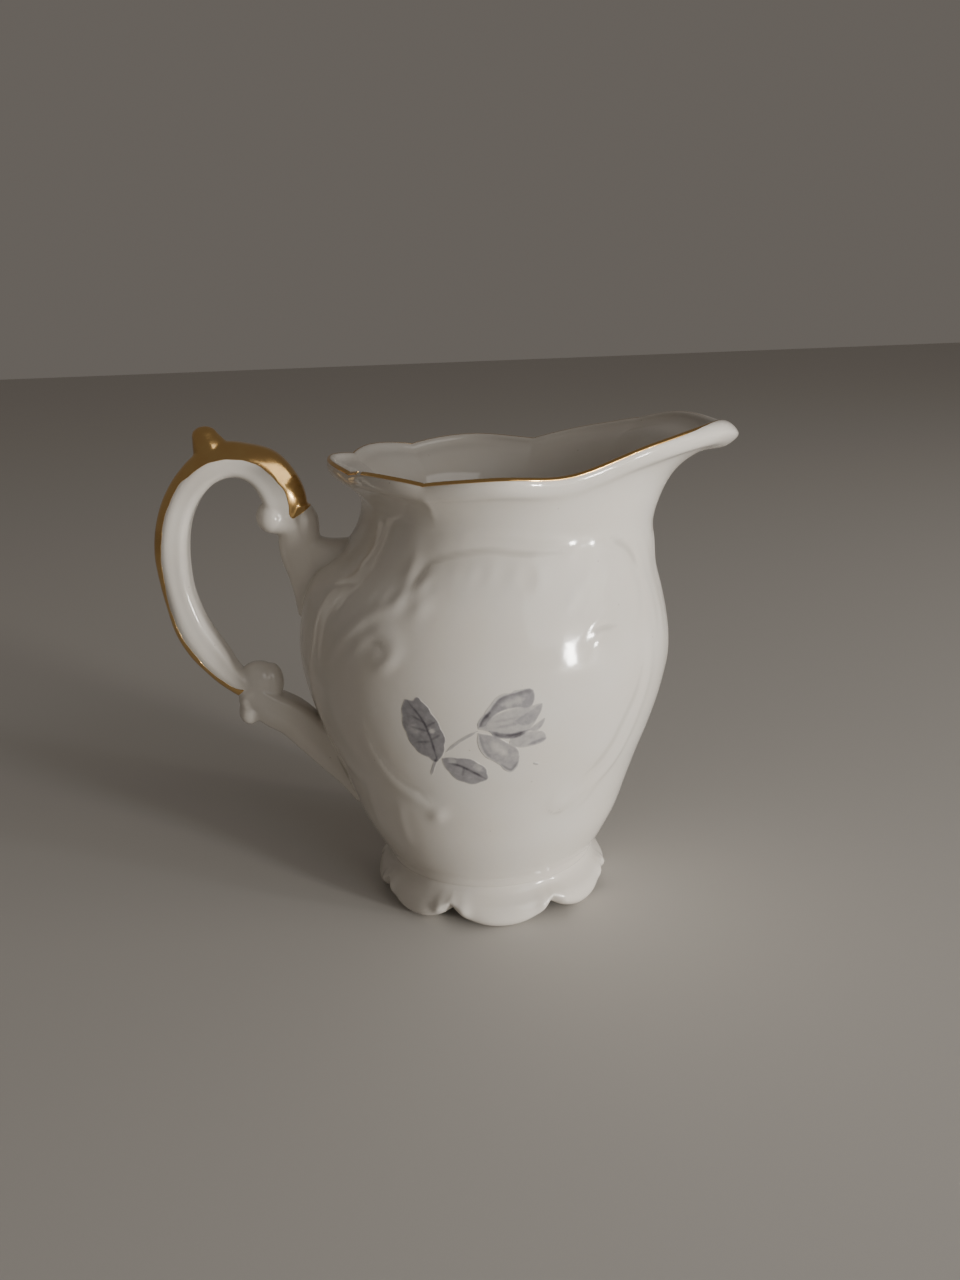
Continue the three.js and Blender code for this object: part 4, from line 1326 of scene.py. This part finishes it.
def make_floor(stage):
    mesh = bpy.data.meshes.new("pale_floor")
    corners = [(x * FLOOR_HALF, y * FLOOR_HALF, 0) for x, y in ((-1, -1), (1, -1), (1, 1), (-1, 1))]
    mesh.from_pydata(corners, [], [(0, 1, 2, 3)])
    floor = new_object("pale_floor", mesh)
    material, _, shader = new_material("Pale floor")
    shader.inputs["Base Color"].default_value = opaque(stage.floor)
    shader.inputs["Roughness"].default_value = 0.75
    mesh.materials.append(material)


def make_lamp(stage, name, power, share, azimuth, elevation, distance, width, height, colour):
    """A soft lamp that looks at the jug."""
    light = bpy.data.lights.new(name, "AREA")
    light.shape = "RECTANGLE"
    light.size, light.size_y = width, height
    light.energy = share * getattr(stage, power)
    light.color = colour
    turn, up = math.radians(azimuth), math.radians(elevation)
    direction = Vector((math.sin(turn) * math.cos(up), -math.cos(turn) * math.cos(up), math.sin(up)))
    lamp = new_object(name, light)
    lamp.location = LAMP_AIM + direction * distance
    lamp.rotation_mode = "QUATERNION"
    lamp.rotation_quaternion = direction.to_track_quat("Z", "Y")


def make_camera(stage):
    swing, down, roll = (math.radians(v) for v in (VIEW_SWING, VIEW_DOWN, VIEW_ROLL))
    ahead = Vector((math.sin(swing) * math.cos(down), math.cos(swing) * math.cos(down), -math.sin(down)))
    level = Vector((math.cos(swing), -math.sin(swing), 0))
    above = level.cross(ahead)
    right = math.cos(roll) * level + math.sin(roll) * above
    up = -math.sin(roll) * level + math.cos(roll) * above
    turned = Matrix((right, up, -ahead)).transposed().to_4x4()
    turned.translation = Vector((0, -VIEW_DISTANCE, VIEW_HEIGHT)) * MM
    to_jug = Matrix.Translation((AXIS_X * MM, 0, 0)) @ Matrix.Rotation(math.radians(-JUG_TURN), 4, "Z")
    data = bpy.data.cameras.new("camera")
    data.lens = stage.lens
    data.sensor_width = 36
    data.clip_start, data.clip_end = 0.01, 20
    camera = new_object("camera", data)
    camera.matrix_world = to_jug @ turned
    bpy.context.scene.camera = camera


def make_world(stage):
    world = bpy.data.worlds.new("studio")
    world.use_nodes = True
    background = next(node for node in world.node_tree.nodes if node.type == "BACKGROUND")
    background.inputs["Color"].default_value = opaque(stage.sky)
    background.inputs["Strength"].default_value = stage.sky_strength
    bpy.context.scene.world = world


# ---------------------------------------------------------------------------
# Settings
# ---------------------------------------------------------------------------


def number_setting(label, text, value, low=0.0, **more):
    return bpy.props.FloatProperty(name=label, description=text, default=value, min=low, **more)


def whole_setting(label, text, value, low, high):
    return bpy.props.IntProperty(name=label, description=text, default=value, min=low, max=high)


def length_setting(label, text, value):
    return number_setting(label, text, value, unit="LENGTH", precision=5)


def colour_setting(label, text, value):
    return bpy.props.FloatVectorProperty(
        name=label, description=text, default=value, subtype="COLOR", size=3, min=0.0, max=1.0
    )


class VesselSettings(bpy.types.PropertyGroup):
    wall: length_setting("Wall", "Thickness of the fired wall", 0.0027)
    lobe_reach: length_setting("Lobe Reach", "How far each lobe of the mouth's edge stands out", 0.0008)
    lobe_rise: length_setting("Lobe Rise", "How far each lobe of the mouth's edge rises", 0.0011)
    front_rise: length_setting("Front Rise", "How much higher the front edge climbs to the spout", 0.0026)
    relief_height: number_setting("Relief", "Height of the moulded ornament", 0.75, max=2.0)
    relief_softening: whole_setting("Softening", "How much glaze softens the ornament", 5, 0, 20)


class FootSettings(bpy.types.PropertyGroup):
    lobes: whole_setting("Lobes", "Petal lobes round the foot", 8, 3, 24)
    lobe_spread: number_setting(
        "Lobe Spread", "How much wider the front and back lobes are", 0.0768, max=0.2, subtype="ANGLE"
    )
    arch_height: length_setting("Arch Height", "Height of the arch between two lobes", 0.0036)
    bulge: length_setting("Bulge", "How far a lobe stands out past the gaps", 0.0013)
    rolled_edge: length_setting("Rolled Edge", "Height of the rolled edge of each lobe", 0.0007)
    bead: length_setting("Bead", "Height of the bead over each gap", 0.0008)


class HandleSettings(bpy.types.PropertyGroup):
    grain: length_setting("Grain", "Size of the mesh that melts the handle together", 0.00033)
    smoothing: whole_setting("Smoothing", "How soft the fillets and edges are", 5, 0, 40)


class GildingSettings(bpy.types.PropertyGroup):
    rim_width: length_setting("Rim Width", "Width of the gold line on the mouth's edge", 0.0008)
    rim_thickness: length_setting("Rim Thickness", "Thickness of the gold line, half of it sunk", 0.00035)
    rim_reach: length_setting("Rim Reach", "How far outside the edge the gold line lies", 0.00045)
    coat: length_setting("Coat", "How far the handle's gold stands over its glaze", 0.00003)


class PrintSettings(bpy.types.PropertyGroup):
    film: length_setting("Film", "How far the print stands over the glaze", 0.00002)
    fineness: length_setting("Fineness", "Size of the print's mesh", 0.00018)


class FinishSettings(bpy.types.PropertyGroup):
    porcelain: colour_setting("Porcelain", "Main colour of the glazed body", (0.72, 0.69, 0.64))
    porcelain_warm: colour_setting("Warm Porcelain", "Colour of its warmer patches", (0.70, 0.655, 0.59))
    # Painted shade for the relief's grooves on the porcelain; on the dried slip it is only the second tone of
    # its mottle.
    groove_shade_and_mottle: colour_setting("Groove Shade And Mottle", "Painted shade in the relief's grooves, and the slip's second tone", (0.48, 0.45, 0.40))
    slip: colour_setting("Slip", "Colour of the dried slip", (0.66, 0.62, 0.55))
    gold: colour_setting("Gold", "Colour of thick gold", (0.86, 0.60, 0.25))
    gold_thin: colour_setting("Thin Gold", "Colour of thin, worn gold", (0.70, 0.42, 0.17))
    print_light: colour_setting("Light Print", "Lightest printed grey", (0.62, 0.59, 0.55))
    print_middle: colour_setting("Middle Print", "Middle printed grey", (0.30, 0.29, 0.30))
    print_dark: colour_setting("Dark Print", "Darkest printed grey", (0.085, 0.078, 0.09))


class StageSettings(bpy.types.PropertyGroup):
    floor: colour_setting("Floor", "Colour of the floor", (0.62, 0.60, 0.57))
    sky: colour_setting("Sky", "Colour of the even light", (1.0, 0.90, 0.80))
    sky_strength: number_setting("Sky Strength", "Even light", 0.14)
    key_power: number_setting("Key", "Power of the side lamps", 4.6, unit="POWER")
    fill_power: number_setting("Fill", "Power of the soft lamp", 5.4, unit="POWER")
    lens: number_setting("Lens", "Focal length in millimetres", 30.94, low=5.0)


SETTINGS = {
    "jug_vessel": VesselSettings,
    "jug_foot": FootSettings,
    "jug_handle": HandleSettings,
    "jug_gilding": GildingSettings,
    "jug_print": PrintSettings,
    "jug_finish": FinishSettings,
    "jug_stage": StageSettings,
}

# ---------------------------------------------------------------------------
# Operators and panel
# ---------------------------------------------------------------------------


class AddVessel(bpy.types.Operator):
    """Add the hollow vessel with its moulded ornament"""

    bl_idname = "mesh.jug_add_vessel"
    bl_label = "Vessel"

    def execute(self, context):
        scene = context.scene
        make_vessel(scene.jug_vessel, finish_named("Glazed porcelain", scene.jug_finish))
        return {"FINISHED"}


class AddFoot(bpy.types.Operator):
    """Add the scalloped foot and dress the slip that holds it"""

    bl_idname = "mesh.jug_add_foot"
    bl_label = "Foot"

    def execute(self, context):
        scene = context.scene
        make_foot(scene.jug_foot, finish_named("Glazed porcelain", scene.jug_finish))
        dress_node("foot_slip_joint", finish_named("Dried slip", scene.jug_finish))
        return {"FINISHED"}


class AddHandle(bpy.types.Operator):
    """Add the scrolled handle and dress the slip that holds it"""

    bl_idname = "mesh.jug_add_handle"
    bl_label = "Handle"

    def execute(self, context):
        scene = context.scene
        make_handle(scene.jug_handle, scene.jug_vessel, finish_named("Glazed porcelain", scene.jug_finish))
        for node in ("handle_slip_joint_upper", "handle_slip_joint_lower"):
            dress_node(node, finish_named("Dried slip", scene.jug_finish))
        return {"FINISHED"}


class AddGilding(bpy.types.Operator):
    """Add the gold on the handle and on the mouth's edge"""

    bl_idname = "mesh.jug_add_gilding"
    bl_label = "Gilding"

    def execute(self, context):
        scene = context.scene
        handle = bpy.data.objects.get("scroll_handle")
        if handle is None:
            raise RuntimeError("add the handle before its gilding")
        gold = finish_named("Bright gold", scene.jug_finish)
        make_handle_gilding(handle, scene.jug_gilding, gold)
        make_rim_gilding(scene.jug_vessel, scene.jug_gilding, gold)
        return {"FINISHED"}


class AddPrints(bpy.types.Operator):
    """Add the printed rose on the front and on the back"""

    bl_idname = "mesh.jug_add_prints"
    bl_label = "Printed Roses"

    def execute(self, context):
        scene = context.scene
        make_prints(scene.jug_vessel, scene.jug_print, finish_named("Grey print", scene.jug_finish))
        return {"FINISHED"}


class AddStage(bpy.types.Operator):
    """Add the floor, the lamps and the camera"""

    bl_idname = "scene.jug_add_stage"
    bl_label = "Stage"

    def execute(self, context):
        stage = context.scene.jug_stage
        make_floor(stage)
        for lamp in LAMPS:
            make_lamp(stage, *lamp)
        make_world(stage)
        make_camera(stage)
        return {"FINISHED"}


OPERATORS = (AddVessel, AddFoot, AddHandle, AddGilding, AddPrints, AddStage)


class JugPanel(bpy.types.Panel):
    """Lists the jug's settings and its pieces"""

    bl_idname = "VIEW3D_PT_cream_jug"
    bl_label = "Cream jug"
    bl_space_type = "VIEW_3D"
    bl_region_type = "UI"
    bl_category = "Cream jug"

    def draw(self, context):
        for name, settings in SETTINGS.items():
            box = self.layout.box()
            group = getattr(context.scene, name)
            for key in settings.__annotations__:
                box.prop(group, key)
        for operator in OPERATORS:
            self.layout.operator(operator.bl_idname)


def register():
    for cls in (*SETTINGS.values(), *OPERATORS, JugPanel):
        bpy.utils.register_class(cls)
    for name, settings in SETTINGS.items():
        setattr(bpy.types.Scene, name, bpy.props.PointerProperty(type=settings))


def unregister():
    for name in SETTINGS:
        delattr(bpy.types.Scene, name)
    for cls in (JugPanel, *reversed(OPERATORS), *reversed(list(SETTINGS.values()))):
        bpy.utils.unregister_class(cls)


def main():
    register()
    for operator in OPERATORS:
        space, name = operator.bl_idname.split(".")
        getattr(getattr(bpy.ops, space), name)()


if __name__ == "__main__":
    main()
